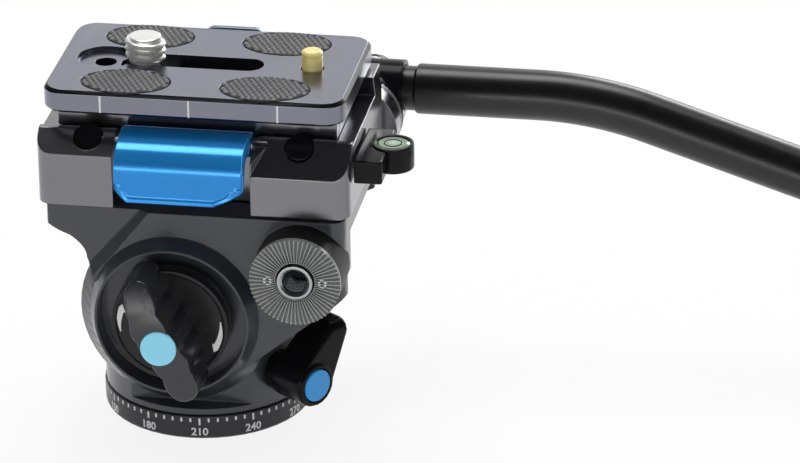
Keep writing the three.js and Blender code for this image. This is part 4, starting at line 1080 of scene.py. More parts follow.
def thread_tree() -> GeometryTree:
    """Makes the tree of a screw thread or coil: a profile of four sides or more swept along a helix.

    Returns:
        The tree.
    """
    tree = GeometryTree("helix", {
        "Radius": float, "Pitch": float, "Turns": float, "Depth": float, "Breadth": float,
        "Start": float, "Sides": int, "Steps": int,
    })
    spiral = tree.out("GeometryNodeCurveSpiral", values={
        "Resolution": tree["Steps"], "Rotations": tree["Turns"], "Start Radius": tree["Radius"],
        "End Radius": tree["Radius"], "Height": tree["Pitch"] * tree["Turns"],
    })
    steady = tree.out("GeometryNodeSetCurveNormal", {"mode": "Z_UP"}, {0: spiral})
    profile = tree.out("GeometryNodeTransform", values={
        "Geometry": tree.ring(tree["Sides"], 1.0),
        "Scale": tree.combined(tree["Depth"], tree["Breadth"], 1.0),
    })
    return tree.close(tree.lifted(tree.swept(steady, profile), tree["Start"]))


def bent_tube_tree() -> GeometryTree:
    """Makes the tree of a round tube along two straight runs with a bend between them.

    Returns:
        The tree.
    """
    tree = GeometryTree("bent_tube", {
        "Start": tuple, "Corner": tuple, "End": tuple, "Bend Radius": float, "Radius": float,
        "Sides": int, "Steps": int,
    })
    index = tree.out("GeometryNodeInputIndex")
    total = None
    for order, label in enumerate(("Start", "Corner", "End")):
        chosen = tree.maths("COMPARE", index, float(order), 0.1)
        part = tree.out("ShaderNodeVectorMath", {"operation": "SCALE"}, {0: tree[label], "Scale": chosen})
        total = part if total is None else tree.vector_maths("ADD", total, part)
    line = tree.out("GeometryNodePointsToCurves", values={"Points": tree.points(3, total)})
    bend = tree.out("GeometryNodeFilletCurve", {"mode": "POLY"}, {
        "Curve": line, "Count": tree["Steps"], "Radius": tree["Bend Radius"], "Limit Radius": False,
    })
    return tree.close(tree.swept(bend, tree.ring(tree["Sides"], tree["Radius"])))


def rib_row_tree(section_sides: int = 10) -> GeometryTree:
    """Makes the tree of a row of round ribs along Z.

    Args:
        section_sides: How many sides a rib's section has.

    Returns:
        The tree.
    """
    tree = GeometryTree("rib_row", {
        "Count": int, "Pitch": float, "Start": float, "Radius": float, "Thickness": float, "Sides": int,
    })
    height = tree["Start"] + tree.out("GeometryNodeInputIndex") * tree["Pitch"]
    points = tree.points(tree["Count"], tree.upward(height))
    section = tree.ring(section_sides, tree["Thickness"])
    rib = tree.swept(tree.ring(tree["Sides"], tree["Radius"]), section, caps=False)
    return tree.close(tree.instanced(points, rib))


def screw_ring_tree(head_sides: int = 32, shank_sides: int = 20) -> GeometryTree:
    """Makes the tree of screws with a hexagon socket, spread round a circle, heads towards +Z.

    Args:
        head_sides: How many sides a head has.
        shank_sides: How many sides a shank has.

    Returns:
        The tree.
    """
    tree = GeometryTree("screw_ring", {
        "Count": int, "Circle": float, "Start": float, "Head Radius": float, "Head Top": float,
        "Head Height": float, "Socket Radius": float, "Socket Depth": float, "Shank Radius": float,
        "Shank Length": float,
    })
    top, height, radius = tree["Head Top"], tree["Head Height"], tree["Head Radius"]
    edge = height * 0.25
    body = tree.lifted(tree.cylinder(head_sides, radius, height - edge), top - edge - (height - edge) * 0.5)
    rim = tree.lifted(tree.out("GeometryNodeMeshCone", values={
        "Vertices": head_sides, "Radius Top": radius - edge, "Radius Bottom": radius, "Depth": edge,
    }, output="Mesh"), top - edge)
    shank = tree.lifted(tree.cylinder(shank_sides, tree["Shank Radius"], tree["Shank Length"]),
                        top - height - tree["Shank Length"] * 0.48)
    key = tree.lifted(tree.cylinder(6, tree["Socket Radius"], tree["Socket Depth"] * 2.0), top)
    union = tree.node("GeometryNodeMeshBoolean", {"operation": "UNION", "solver": "EXACT"})
    for part in (body, rim, shank):
        tree.tree.links.new(part.socket, union.inputs["Mesh 2"])
    screw = tree.out("GeometryNodeMeshBoolean", {"operation": "DIFFERENCE", "solver": "EXACT"}, {
        "Mesh 1": Flow(tree, union.outputs["Mesh"]), "Mesh 2": key,
    }, output="Mesh")
    position = tree.on_circle(tree["Circle"], tree["Start"] + tree.each_turn(), 0.0)
    return tree.close(tree.instanced(tree.points(tree["Count"], position), screw))


BLACK_CASTING = Painted("black_casting", (0.03, 0.033, 0.041, 1), 0.34, coat=0.5, soft_edge=0.7)
BLACK_CLAMP = Anodised("clamp_black", (0.22, 0.222, 0.235, 1), 0.2, 0.95, soft_edge=0.4)
DARK_PLATE = Anodised("plate_anodised", (0.22, 0.225, 0.27, 1), 0.22, 1.0)
# The plate's chamfers that slope upwards, painted near black: a painted dark reflection on the sloped edge.
PLATE_CHAMFER_PAINTED_SHADE = Anodised("plate_chamfer_painted_shade", (0.012, 0.012, 0.013, 1), 0.3, 0.6)
BLUE_LEVER = Anodised("lever_blue", (0.02, 0.27, 0.72, 1), 0.18, 0.42, along=(0.04, 1.0, 1.0))
PALE_CATCH = Anodised("catch_pale_blue", (0.14, 0.19, 0.23, 1), 0.22, 0.7)
PALE_DRUM = Anodised("drum_pale", (0.5, 0.54, 0.54, 1), 0.3, 0.85)
# The curved side of the casting's boss behind the near disc: painted shade, near black and less glossy.
BOSS_PAINTED_SHADE = Moulded("boss_painted_shade", (0.006, 0.0065, 0.006, 1), 0.45, specular=0.2)
TILT_CAP_BLUE = Moulded("tilt_cap_blue", (0.27, 0.7, 0.95, 1), 0.4)
LOCK_CAP_BLUE = Moulded("lock_cap_blue", (0.03, 0.3, 0.72, 1), 0.4)
GLOSS_BLACK = Moulded("gloss_black_plastic", (0.005, 0.005, 0.006, 1), 0.2, specular=0.16)
LEVER_BLACK = replace(GLOSS_BLACK, name="lever_black_plastic", specular=0.12, soft_edge=0.9)
KNOB_BLACK = Moulded("knob_black", (0.012, 0.012, 0.013, 1), 0.2, specular=0.3)
WING_BLACK = Moulded("wing_black", (0.022, 0.023, 0.025, 1), 0.24, specular=0.6)
BAR_BLACK = Painted("bar_black", (0.006, 0.006, 0.0065, 1), 0.3, grain=0.25, depth=0.008)
PAD_RUBBER = Rubber("pad_rubber", (0.008, 0.008, 0.01, 1), 0.7)
# The studs are the pad's own rubber painted lighter: painted light on their tops.
PAD_STUD_PAINTED_LIGHT = Rubber("pad_stud_painted_light", (0.2, 0.2, 0.205, 1), 0.45)
HANDLE_RUBBER = Rubber("handle_rubber", (0.014, 0.014, 0.015, 1), 0.75, pebble=0.5, depth=0.05)
WHITE_PRINT = Printed("white_print", (0.86, 0.86, 0.86, 1), 0.45)
BRIGHT_STEEL = Turned("bright_steel", (0.74, 0.74, 0.74, 1), 0.2, 1.0)
DULL_STEEL = Turned("dull_steel", (0.45, 0.45, 0.46, 1), 0.35, 1.0)
BRONZE = Turned("bearing_bronze", (0.45, 0.3, 0.14, 1), 0.4, 0.9)
BEARING_WHITE = Moulded("bearing_plastic", (0.78, 0.78, 0.74, 1), 0.5)


@dataclass(frozen=True)
class ScrewSize:
    """The sizes of a socket head screw, in millimetres."""

    head_radius: float
    head_height: float
    socket_radius: float
    socket_depth: float
    shank_radius: float


class Assembly:
    """What the sub-assemblies share: dressing, copying and making pieces, and handing them over.

    Loose faces of a CAD node are merged within MERGE_REACH, in metres. A copy that gets rounded edges
    loses the edges under FLAT_ANGLE and is rounded at those over EDGE_ANGLE, both in degrees.
    """

    MERGE_REACH: ClassVar[float] = 2e-6
    FLAT_ANGLE: ClassVar[float] = 0.8
    EDGE_ANGLE: ClassVar[float] = 27.0

    def hand_over(self, piece: Piece, body: str, slot: str, *nodes: str) -> Piece:
        """Lets a piece ride on a body.

        Args:
            piece: The piece.
            body: The body.
            slot: Its material slot; not used.
            nodes: The CAD nodes that it stands for.

        Returns:
            The piece.
        """
        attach(piece, body)
        if nodes:
            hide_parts(*nodes)
        LOG.info("%s rides on %s with %d faces", piece.name, body, len(piece.data.polygons))
        return piece

    def lathe(self, name: str, profile: Sequence[tuple[float, ...]], place: Matrix, finish: Finish,
              body: str, slot: str, *nodes: str, sides: int = 96, steps: int = 4,
              closed: bool = False) -> None:
        """Makes and hands over a turned piece. Its profile gives radius, height and rounding in mm."""
        form = Form().turned(filleted(profile, steps, closed), sides, closed)
        self.hand_over(form.piece(name, place, finish), body, slot, *nodes)

    def screws(self, name: str, finish: Finish, place: Matrix, size: ScrewSize, circle: float, start: float,
               top: float, shank: float, body: str, *nodes: str) -> None:
        """Makes and hands over screws spread round a circle, one for each CAD node.

        Args:
            name: The name of the piece that holds them all.
            finish: Their finish.
            place: The frame of the circle, in millimetres. The heads point to its +Z.
            size: The sizes of one screw.
            circle: The circle's radius.
            start: The angle of the first screw.
            top: The height of the heads' tops.
            shank: The length of a shank.
            body: The body that they ride on.
            nodes: The CAD nodes that they stand for.
        """
        made = screw_ring_tree().grow(name, finish, place, {
            "Count": len(nodes), "Circle": circle, "Start": start, "Head Radius": size.head_radius,
            "Head Top": top, "Head Height": size.head_height, "Socket Radius": size.socket_radius,
            "Socket Depth": size.socket_depth, "Shank Radius": size.shank_radius, "Shank Length": shank,
        })
        self.hand_over(made, body, "steel", *nodes)

    def dress(self, finish: Finish, *nodes: str) -> None:
        """Gives CAD nodes a finish and leaves their shape as it is."""
        for name in nodes:
            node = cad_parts[name]
            node.data.materials.clear()
            node.data.materials.append(finish.material())
            LOG.info("%s keeps its shape, in %s", name, finish.name)

    def refined(self, node: str, name: str, finish: Finish, edge: float, body: str, slot: str,
                segments: int = 2) -> Piece:
        """Copies a CAD node, merges its loose faces and smooths what is curved.

        Args:
            node: The CAD node that the copy stands for.
            name: The new piece's name.
            finish: Its finish.
            edge: The width of the rounding of its edges, in millimetres, or 0 where the finish rounds them.
            body: The body that it rides on.
            slot: Its material slot; not used.
            segments: How many steps the rounding has.

        Returns:
            The new piece.
        """
        shape = bmesh.new()
        shape.from_mesh(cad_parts[node].data)
        bmesh.ops.remove_doubles(shape, verts=shape.verts, dist=self.MERGE_REACH)
        if edge > 0:
            bmesh.ops.dissolve_limit(shape, angle_limit=math.radians(self.FLAT_ANGLE),
                                     verts=shape.verts, edges=shape.edges)
        data = bpy.data.meshes.new(name)
        shape.to_mesh(data)
        shape.free()
        piece = made_object(name, data, finish, UPRIGHT, SHARP_ANGLE)
        if edge > 0:
            self.round_edges(piece, edge, segments, self.EDGE_ANGLE)
        else:
            even_shading(piece.data, SHARP_ANGLE)
        return self.hand_over(piece, body, slot, node)

    @staticmethod
    def round_edges(piece: Piece, edge: float, segments: int, angle: float) -> None:
        """Rounds the edges of a piece.

        Args:
            piece: The piece.
            edge: The width of the rounding, in millimetres.
            segments: How many steps it has.
            angle: The angle, in degrees, above which an edge is rounded.
        """
        rounding = piece.modifiers.new("rounded_edges", "BEVEL")
        rounding.width = edge * MM
        rounding.segments = segments
        rounding.limit_method = "ANGLE"
        rounding.angle_limit = math.radians(angle)
        rounding.use_clamp_overlap = False
        rounding.harden_normals = True


@dataclass
class Foot(Assembly):
    """The base ring with its printed scale, the spindle and the thread bush for the tripod."""

    edge: float = 0.4
    tick_count: int = 72
    ticks_per_number: int = 6
    tick_width: float = 0.46
    short_tick: float = 0.95
    long_tick: float = 1.7
    tick_drop: float = 0.5
    ink: float = 0.06
    number_step: int = 30
    number_height: float = 1.9
    type_size_per_height: float = 1.42
    number_weight: float = 0.055
    number_top_drop: float = 2.7
    reference_number: int = 210
    reference_angle: float = -83.8
    thread_pitch: float = 1.5875
    thread_depth: float = 0.45
    thread_breadth: float = 0.42
    bush_bore: float = 4.2
    bush_edge: float = 0.3
    screw_circle: float = 9.1
    screw: ScrewSize = ScrewSize(2.2, 1.4, 1.2, 0.9, 1.2)

    def build(self) -> None:
        """Makes and hands over the pieces of the foot."""
        corner = span("base_drum")[1]
        radius = corner.x
        finish = Turned("base_black", (0.03, 0.031, 0.034, 1), 0.33, 0.3, pitch=0.3, depth=0.002)
        self.refined("base_drum", "base_ring", finish, self.edge, "base", "black_anodised")
        ticks = tick_ring_tree().grow("scale_ticks", WHITE_PRINT, UPRIGHT, {
            "Radius": radius, "Top": corner.z - self.tick_drop, "Count": self.tick_count,
            "Start": math.radians(self.reference_angle), "Every": self.ticks_per_number,
            "Width": self.tick_width, "Short": self.short_tick, "Long": self.long_tick,
            "Cover": 2 * self.ink,
        })
        self.hand_over(ticks, "base", "black_anodised")
        self.hand_over(self.numbers(radius, corner.z - self.number_top_drop), "base", "black_anodised")
        self.dress(DULL_STEEL, "pan_spindle", "pan_brake_drum")
        self.dress(BEARING_WHITE, "pan_thrust_washer")
        self.tripod_bush()
        lowest, highest = span("base_screw_1")
        self.screws(
            "base_screws", DULL_STEEL, placed((0, 0, 0), (0, 0, -1), (1, 0, 0)), self.screw,
            self.screw_circle, -math.pi / 2, -lowest.z, highest.z - lowest.z - self.screw.head_height,
            "base", "base_screw_1", "base_screw_2", "base_screw_3",
        )

    def numbers(self, radius: float, top: float) -> Piece:
        """Makes the plain numbers of the scale and wraps them round the ring.

        Args:
            radius: The ring's radius.
            top: The height of the numbers' tops.

        Returns:
            The numbers as one piece.
        """
        shape = bmesh.new()
        for order in range(360 // self.number_step):
            number = order * self.number_step
            angle = math.radians(self.reference_angle + number - self.reference_number)
            text = bpy.data.curves.new("number", "FONT")
            text.body = str(number)
            text.align_x = "CENTER"
            text.align_y = "TOP"
            text.size = self.number_height * self.type_size_per_height
            text.extrude = self.ink
            text.offset = self.number_weight
            text.resolution_u = 3
            host = bpy.data.objects.new("number", text)
            bpy.context.scene.collection.objects.link(host)
            evaluated = host.evaluated_get(bpy.context.evaluated_depsgraph_get())
            flat = bpy.data.meshes.new_from_object(evaluated)
            bpy.data.objects.remove(host)
            for point in flat.vertices:
                turn = angle + point.co.x / radius
                reach = radius + point.co.z
                point.co = (reach * math.cos(turn), reach * math.sin(turn), top + point.co.y)
            shape.from_mesh(flat)
            bpy.data.meshes.remove(flat)
        data = bpy.data.meshes.new("scale_numbers")
        shape.to_mesh(data)
        shape.free()
        return made_object("scale_numbers", data, WHITE_PRINT, Matrix.Scale(MM, 4), SHARP_ANGLE)

    def tripod_bush(self) -> None:
        """Makes the threaded bush in the foot."""
        low, high = span("tripod_thread_bush")
        bore, edge = self.bush_bore, self.bush_edge
        self.lathe("tripod_bush", [
            (bore, low.z, edge), (high.x, low.z, edge), (high.x, high.z, edge), (bore, high.z, edge),
        ], UPRIGHT, DULL_STEEL, "base", "steel", "tripod_thread_bush", sides=64, closed=True)
        thread = thread_tree().grow("tripod_bush_thread", DULL_STEEL, UPRIGHT, {
            "Radius": bore, "Pitch": self.thread_pitch,
            "Turns": (high.z - low.z) / self.thread_pitch - 1.0, "Depth": self.thread_depth,
            "Breadth": self.thread_pitch * self.thread_breadth,
            "Start": low.z + self.thread_pitch * 0.5, "Sides": 4, "Steps": 40,
        })
        self.hand_over(thread, "base", "steel")


@dataclass
class PanUnit(Assembly):
    """The pan housing with the tilt axle, the drag cartridge, the spring and the friction discs."""

    spring_wire: float = 1.7
    spring_turns: float = 3.6

    def build(self) -> None:
        """Makes and hands over the pieces of the pan unit."""
        self.refined("pan_housing", "pan_housing_shell", BLACK_CASTING, 0.0, "pan_unit", "casting")
        self.dress(BRONZE, "pan_bearing_bush", "pan_brake_shoe",
                   "tilt_friction_disc_near", "tilt_friction_disc_far")
        self.dress(DULL_STEEL, "tilt_axle")
        self.dress(BLACK_CLAMP, "tilt_drag_cartridge")
        self.spring()

    def spring(self) -> None:
        """Makes the coil that balances the camera's weight."""
        low, high = span("counterbalance_spring")
        centre = middle("counterbalance_spring")
        outer = (high.x - low.x) / 2
        pitch = (high.y - low.y - 2 * self.spring_wire) / self.spring_turns
        place = placed((centre.x, 0, centre.z), (0, 1, 0), (1, 0, 0))
        coil = thread_tree().grow("balance_spring", DULL_STEEL, place, {
            "Radius": outer - self.spring_wire, "Pitch": pitch, "Turns": self.spring_turns,
            "Depth": self.spring_wire, "Breadth": self.spring_wire, "Start": low.y + self.spring_wire,
            "Sides": 16, "Steps": 40,
        })
        self.hand_over(coil, "pan_unit", "steel", "counterbalance_spring")


@dataclass
class PanLock(Assembly):
    """The lever that locks the pan axis, with its blue cap and its screw."""

    turn: float = -36.0
    axis_z: float = 15.0
    cap_start: float = 36.9
    cap_end: float = 38.0
    cap_radius: float = 3.9
    cap_edge: float = 0.35
    cap_crown: float = 0.05

    def build(self) -> None:
        """Makes and hands over the pieces of the pan lock."""
        self.refined("pan_lock_lever", "pan_lock_arm", LEVER_BLACK, 0.0, "pan_lock", "black_plastic")
        out = (math.cos(math.radians(self.turn)), math.sin(math.radians(self.turn)), 0)
        place = placed((0, 0, self.axis_z), out, (0, 0, 1))
        self.lathe("pan_lock_button", [
            (0, self.cap_start), (self.cap_radius, self.cap_start),
            (self.cap_radius, self.cap_end, self.cap_edge), (0, self.cap_end + self.cap_crown),
        ], place, LOCK_CAP_BLUE, "pan_lock", "lock_cap_blue", "pan_lock_cap")
        self.dress(DULL_STEEL, "pan_lock_screw")


@dataclass
class TiltCasting(Assembly):
    """The tilting casting with its side cover, bushes and the two toothed discs."""

    tooth_count: int = 60
    tooth_height: float = 0.55
    tooth_crest: float = 0.28
    hub_radius: float = 4.6
    insert_bore: float = 3.0
    insert_radius: float = 4.2
    insert_pitch: float = 1.27
    screw_offset: float = 6.4
    cover_rim: float = 2.0
    cover_dish: float = 0.6
    cover_hub: float = 5.0
    cover_screw_circle: float = 12.4
    cover_screw: ScrewSize = ScrewSize(1.9, 1.1, 1.0, 0.75, 0.9)
    cover_screw_shank: float = 4.0

    def build(self) -> None:
        """Makes and hands over the pieces of the casting."""
        casting = self.refined("tilt_cradle", "tilt_casting", BLACK_CASTING, 0.0, "tilt_unit", "casting")
        low, high = span("rosette_near")
        # The boss's curved side is painted near black: painted shade on the casting, which is one cast piece.
        tint_faces(casting, BOSS_PAINTED_SHADE, on_drum(middle("rosette_near"), (high.x - low.x) / 2))
        self.dress(BRONZE, "tilt_bush_near", "tilt_bush_far")
        self.side_cover()
        self.rosette("rosette_near", Side.NEAR)
        self.rosette("rosette_far", Side.FAR)
        self.near_insert()
        self.near_screws()

    def side_cover(self) -> None:
        """Makes the dished cover over the far end of the axle, and its screws."""
        low, high = span("tilt_side_cover")
        centre = middle("tilt_side_cover")
        radius = (high.x - low.x) / 2
        rim, dish, floor = radius - self.cover_rim, high.y - self.cover_dish, high.y - 2 * self.cover_dish
        place = facing(Side.FAR, centre.x, centre.z)
        self.lathe("side_cover", [
            (0, low.y), (radius, low.y), (radius, high.y, 1.3), (rim, high.y, 0.6), (rim - 0.9, dish, 0.4),
            (self.cover_hub, dish, 0.8), (self.cover_hub - 0.8, floor), (0, floor),
        ], place, BLACK_CASTING, "tilt_unit", "casting", "tilt_side_cover")
        self.screws(
            "side_cover_screws", DULL_STEEL, place, self.cover_screw, self.cover_screw_circle, math.pi / 2,
            high.y, self.cover_screw_shank,
            "tilt_unit", "side_cover_screw_1", "side_cover_screw_2", "side_cover_screw_3",
        )

    def rosette(self, node: str, side: Side) -> None:
        """Makes a toothed disc: a turned back and a ring of radial teeth.

        Args:
            node: The disc's CAD node.
            side: The side of the head that it is on.
        """
        low, high = span(node)
        centre = middle(node)
        radius = (high.x - low.x) / 2
        back, face = sorted((abs(low.y), abs(high.y)))
        root = face - self.tooth_height
        place = facing(side, centre.x, centre.z)
        finish = Turned(node + "_grey", (0.3, 0.31, 0.3, 1), 0.38, 0.6, centre=(centre.x, 0, centre.z),
                        axis="y", pitch=0.4, depth=0.001)
        self.lathe(node + "_plate", [
            (self.hub_radius, back), (radius, back), (radius, root, 0.1), (self.hub_radius, root),
        ], place, finish, "tilt_unit", "black_anodised", node, closed=True)
        teeth = tooth_ring_tree().grow(node + "_teeth", finish, place, {
            "Inner": self.hub_radius + 0.2, "Outer": radius, "Base": root - 0.02,
            "Height": self.tooth_height, "Count": self.tooth_count, "Crest": self.tooth_crest,
        })
        self.hand_over(teeth, "tilt_unit", "black_anodised")

    def near_insert(self) -> None:
        """Makes the threaded insert in the middle of the near disc."""
        low, high = span("rosette_near_insert")
        centre = middle("rosette_near_insert")
        place = facing(Side.NEAR, centre.x, centre.z)
        front, back = -low.y, -high.y
        finish = Turned("insert_steel", (0.42, 0.43, 0.44, 1), 0.3, 1.0,
                        centre=(centre.x, 0, centre.z), axis="y")
        self.lathe("rosette_insert", [
            (self.insert_bore, back), (self.insert_radius, back), (self.insert_radius, front, 0.25),
            (self.insert_bore + 0.5, front), (self.insert_bore, front - 0.5),
        ], place, finish, "tilt_unit", "steel", "rosette_near_insert", closed=True)
        thread = thread_tree().grow("rosette_insert_thread", finish, place, {
            "Radius": self.insert_bore, "Pitch": self.insert_pitch, "Turns": 5.0, "Depth": 0.3,
            "Breadth": 0.5, "Start": back + 0.6, "Sides": 4, "Steps": 36,
        })
        self.hand_over(thread, "tilt_unit", "steel")

    def near_screws(self) -> None:
        """Makes the two small screws of the near disc."""
        low, high = span("rosette_near_screw_1")
        centre = middle("rosette_near")
        size = ScrewSize((high.x - low.x) / 2, 0.9, 0.62, 0.5, 0.7)
        self.screws(
            "rosette_screws", BRIGHT_STEEL, facing(Side.NEAR, centre.x, centre.z), size,
            self.screw_offset, 0.0, -low.y, high.y - low.y - size.head_height,
            "tilt_unit", "rosette_near_screw_1", "rosette_near_screw_2",
        )


@dataclass
class TiltLock(Assembly):
    """The winged knob that locks the tilt axis: dial, wing, blue cap and screw."""

    axis_x: float = -2.6
    axis_z: float = 31.7
    wing_turn: float = 21.5
    dial_radius: float = 13.8
    dial_face: float = 29.0
    dial_back: float = 25.4
    hub_radius: float = 6.4
    hub_back: float = 23.1
    rim_width: float = 0.9
    rim_height: float = 0.35
    half_length: float = 16.0
    tip_length: float = 3.4
    wing_width: tuple[Point2, ...] = (
        (-16.0, 3.0), (-12.5, 3.2), (-8.0, 3.0), (-4.0, 3.5), (0.0, 4.4), (4.0, 5.1), (8.0, 4.7), (13.0, 3.9),
        (16.0, 3.6),
    )
    crest: float = 42.0
    tip_crest: float = 38.4
    root: float = 28.6
    flare: float = 0.7
    lobe_pitch: float = 5.4
    lobe_depth: float = 1.3
    crest_edge: float = 0.5
    cap_radius: float = 4.2
    cap_sink: float = 0.9
    cap_rise: float = 0.5
    arrows: tuple[tuple[str, float, float], ...] = (
        ("lock_arrow_front", 192.0, 25.0), ("lock_arrow_rear", 7.0, 30.0),
    )
    arrow_radius: float = 12.0
    arrow_head: float = 9.0
    arrow_half: float = 0.85
    arrow_tail: float = 0.12
    arrow_barb: float = 1.5
    arrow_steps: int = 12
    arrow_cover: float = 0.05

    def place(self) -> Matrix:
        """Gives the knob's own frame: Z out of the near side, X along the wing, downwards."""
        turn = math.radians(90 - self.wing_turn)
        return placed((self.axis_x, 0, self.axis_z), (0, -1, 0), (math.cos(turn), 0, -math.sin(turn)))

    def build(self) -> None:
        """Makes and hands over the pieces of the knob."""
        place = self.place()
        dial = self.dial().piece("lock_dial", place, KNOB_BLACK)
        self.hand_over(dial, "tilt_lock", "black_plastic", "tilt_lock_knob")
        wing = self.wing().piece("lock_wing", place, WING_BLACK, BLADE_ANGLE)
        self.hand_over(wing, "tilt_lock", "black_plastic")
        foot, top = self.crest - self.cap_sink, self.crest + self.cap_rise
        self.lathe("lock_button", [
            (0, foot), (self.cap_radius, foot), (self.cap_radius, top, 0.3), (0, top),
        ], place, TILT_CAP_BLUE, "tilt_lock", "tilt_cap_blue", "tilt_lock_cap")
        front = facing(Side.NEAR, self.axis_x, self.axis_z)
        for name, start, sweep in self.arrows:
            arrow = self.arrow(math.radians(start), math.radians(sweep)).piece(name, front, WHITE_PRINT)
            self.hand_over(arrow, "tilt_lock", "black_plastic")
        self.dress(DULL_STEEL, "tilt_lock_screw")

    def dial(self) -> Form:
        """Makes the round dial with its raised rim and its hub.

        Returns:
            The form.
        """
        lip = self.dial_radius - self.rim_width
        rim = self.dial_face + self.rim_height
        return Form().turned(filleted([
            (0, self.hub_back), (self.hub_radius, self.hub_back), (self.hub_radius, self.dial_back),
            (self.dial_radius, self.dial_back, 0.3), (self.dial_radius, rim, 0.3),
            (lip, rim, 0.25), (lip - 0.4, self.dial_face, 0.3), (0, self.dial_face),
        ]), 128)

    def half_width(self, along: float, lobe: float) -> float:
        """Gives the wing's half width on its +Y side.

        Args:
            along: The place along the wing.
            lobe: How deep the lobes are cut.

        Returns:
            The half width.
        """
        width = self.wing_width[-1][1]
        for (start, first), (end, last) in zip(self.wing_width, self.wing_width[1:]):
            if along <= end:
                share = (along - start) / (end - start)
                width = first + (last - first) * share * share * (3 - 2 * share)
                break
        over = max(0.0, abs(along) - self.half_length + self.tip_length) / self.tip_length
        dip = lobe * (1 - abs(math.cos(math.pi * along / self.lobe_pitch))) ** 1.3 * (1 - over)
        return (width - dip) * math.sqrt(max(0.0, 1 - over * over))

    def plan(self, lobe: float, count: int = 96) -> list[Point2]:
        """Gives the wing's outline, the same when it is turned by half a turn.

        Args:
            lobe: How deep the lobes are cut.
            count: How many steps each side has.

        Returns:
            The outline, counter-clockwise.
        """
        places = [-self.half_length * math.cos(math.pi * index / count) for index in range(count + 1)]
        lower = [(x, -self.half_width(-x, lobe)) for x in places]
        upper = [(x, self.half_width(x, lobe)) for x in reversed(places[1:-1])]
        return lower + upper

    def wing(self) -> Form:
        """Makes the wing: its walls flare to the root, and its crest falls towards the tips.

        Returns:
            The form.
        """
        rings = []
        for share in (0.0, 0.35, 0.7, 1.0):
            line = inset(self.plan(self.lobe_depth * (1 - 0.7 * share)), -self.flare * (1 - share) ** 2)
            rings.append([
                Vector((x, y, self.root + (self.crest_at(x) - self.crest_edge - self.root) * share))
                for x, y in line
            ])
        top = self.plan(self.lobe_depth * 0.3)
        for step in range(1, 5):
            turn = math.pi / 2 * step / 4
            drop = self.crest_edge * (1 - math.sin(turn))
            line = inset(top, self.crest_edge * (1 - math.cos(turn)))
            rings.append([Vector((x, y, self.crest_at(x) - drop)) for x, y in line])
        form = Form().skin(rings, caps=False)
        form.mesh.faces.new([form.mesh.verts.new(point) for point in rings[0]])
        self.close_crest(form, rings[-1])
        return form

    def crest_at(self, x: float) -> float:
        """Gives the height of the crest at a place along the wing."""
        return self.crest - (self.crest - self.tip_crest) * (x / self.half_length) ** 2

    @staticmethod
    def close_crest(form: Form, ring: Sequence[Vector]) -> None:
        """Closes the crest with strips that join points of like place along the wing.

        Args:
            form: The wing.
            ring: Its uppermost ring.
        """
        count = len(ring)
        points = [form.mesh.verts.new(point) for point in ring]
        first = max(range(count), key=lambda index: ring[index].x)
        order = [points[(first + step) % count] for step in range(count)]
        head, tail = 0, count - 1
        while tail - head > 1:
            corners = [order[head], order[head + 1], order[tail]]
            if tail - head > 2:
                corners = [order[head], order[head + 1], order[tail - 1], order[tail]]
            form.mesh.faces.new(corners)
            head += 1
            tail -= 1

    def arrow(self, start: float, sweep: float) -> Form:
        """Makes a curved arrow that grows from a point to its head, clockwise as one looks at the dial.

        Args:
            start: The angle of its point.
            sweep: How far it reaches round.

        Returns:
            The form.
        """
        outer = []
        inner = []
        for step in range(self.arrow_steps + 1):
            share = step / self.arrow_steps
            turn = start - sweep * share
            width = self.arrow_half * (self.arrow_tail + (1 - self.arrow_tail) * share)
            outer.append(self.on_dial(self.arrow_radius + width, turn))
            inner.append(self.on_dial(self.arrow_radius - width, turn))
        end = start - sweep
        tip = self.on_dial(self.arrow_radius, end - math.radians(self.arrow_head))
        barb = self.arrow_barb * self.arrow_half
        inside, outside = (self.on_dial(self.arrow_radius + way * barb, end) for way in (-1, 1))
        outline = inner + [inside, tip, outside] + list(reversed(outer))
        return Form().skin([ring_at(outline, self.dial_face + way * self.arrow_cover) for way in (-1, 1)])

    @staticmethod
    def on_dial(radius: float, turn: float) -> Point2:
        """Gives a place on the dial; the turn grows from the rear upwards."""
        return (radius * math.cos(turn), radius * math.sin(turn))


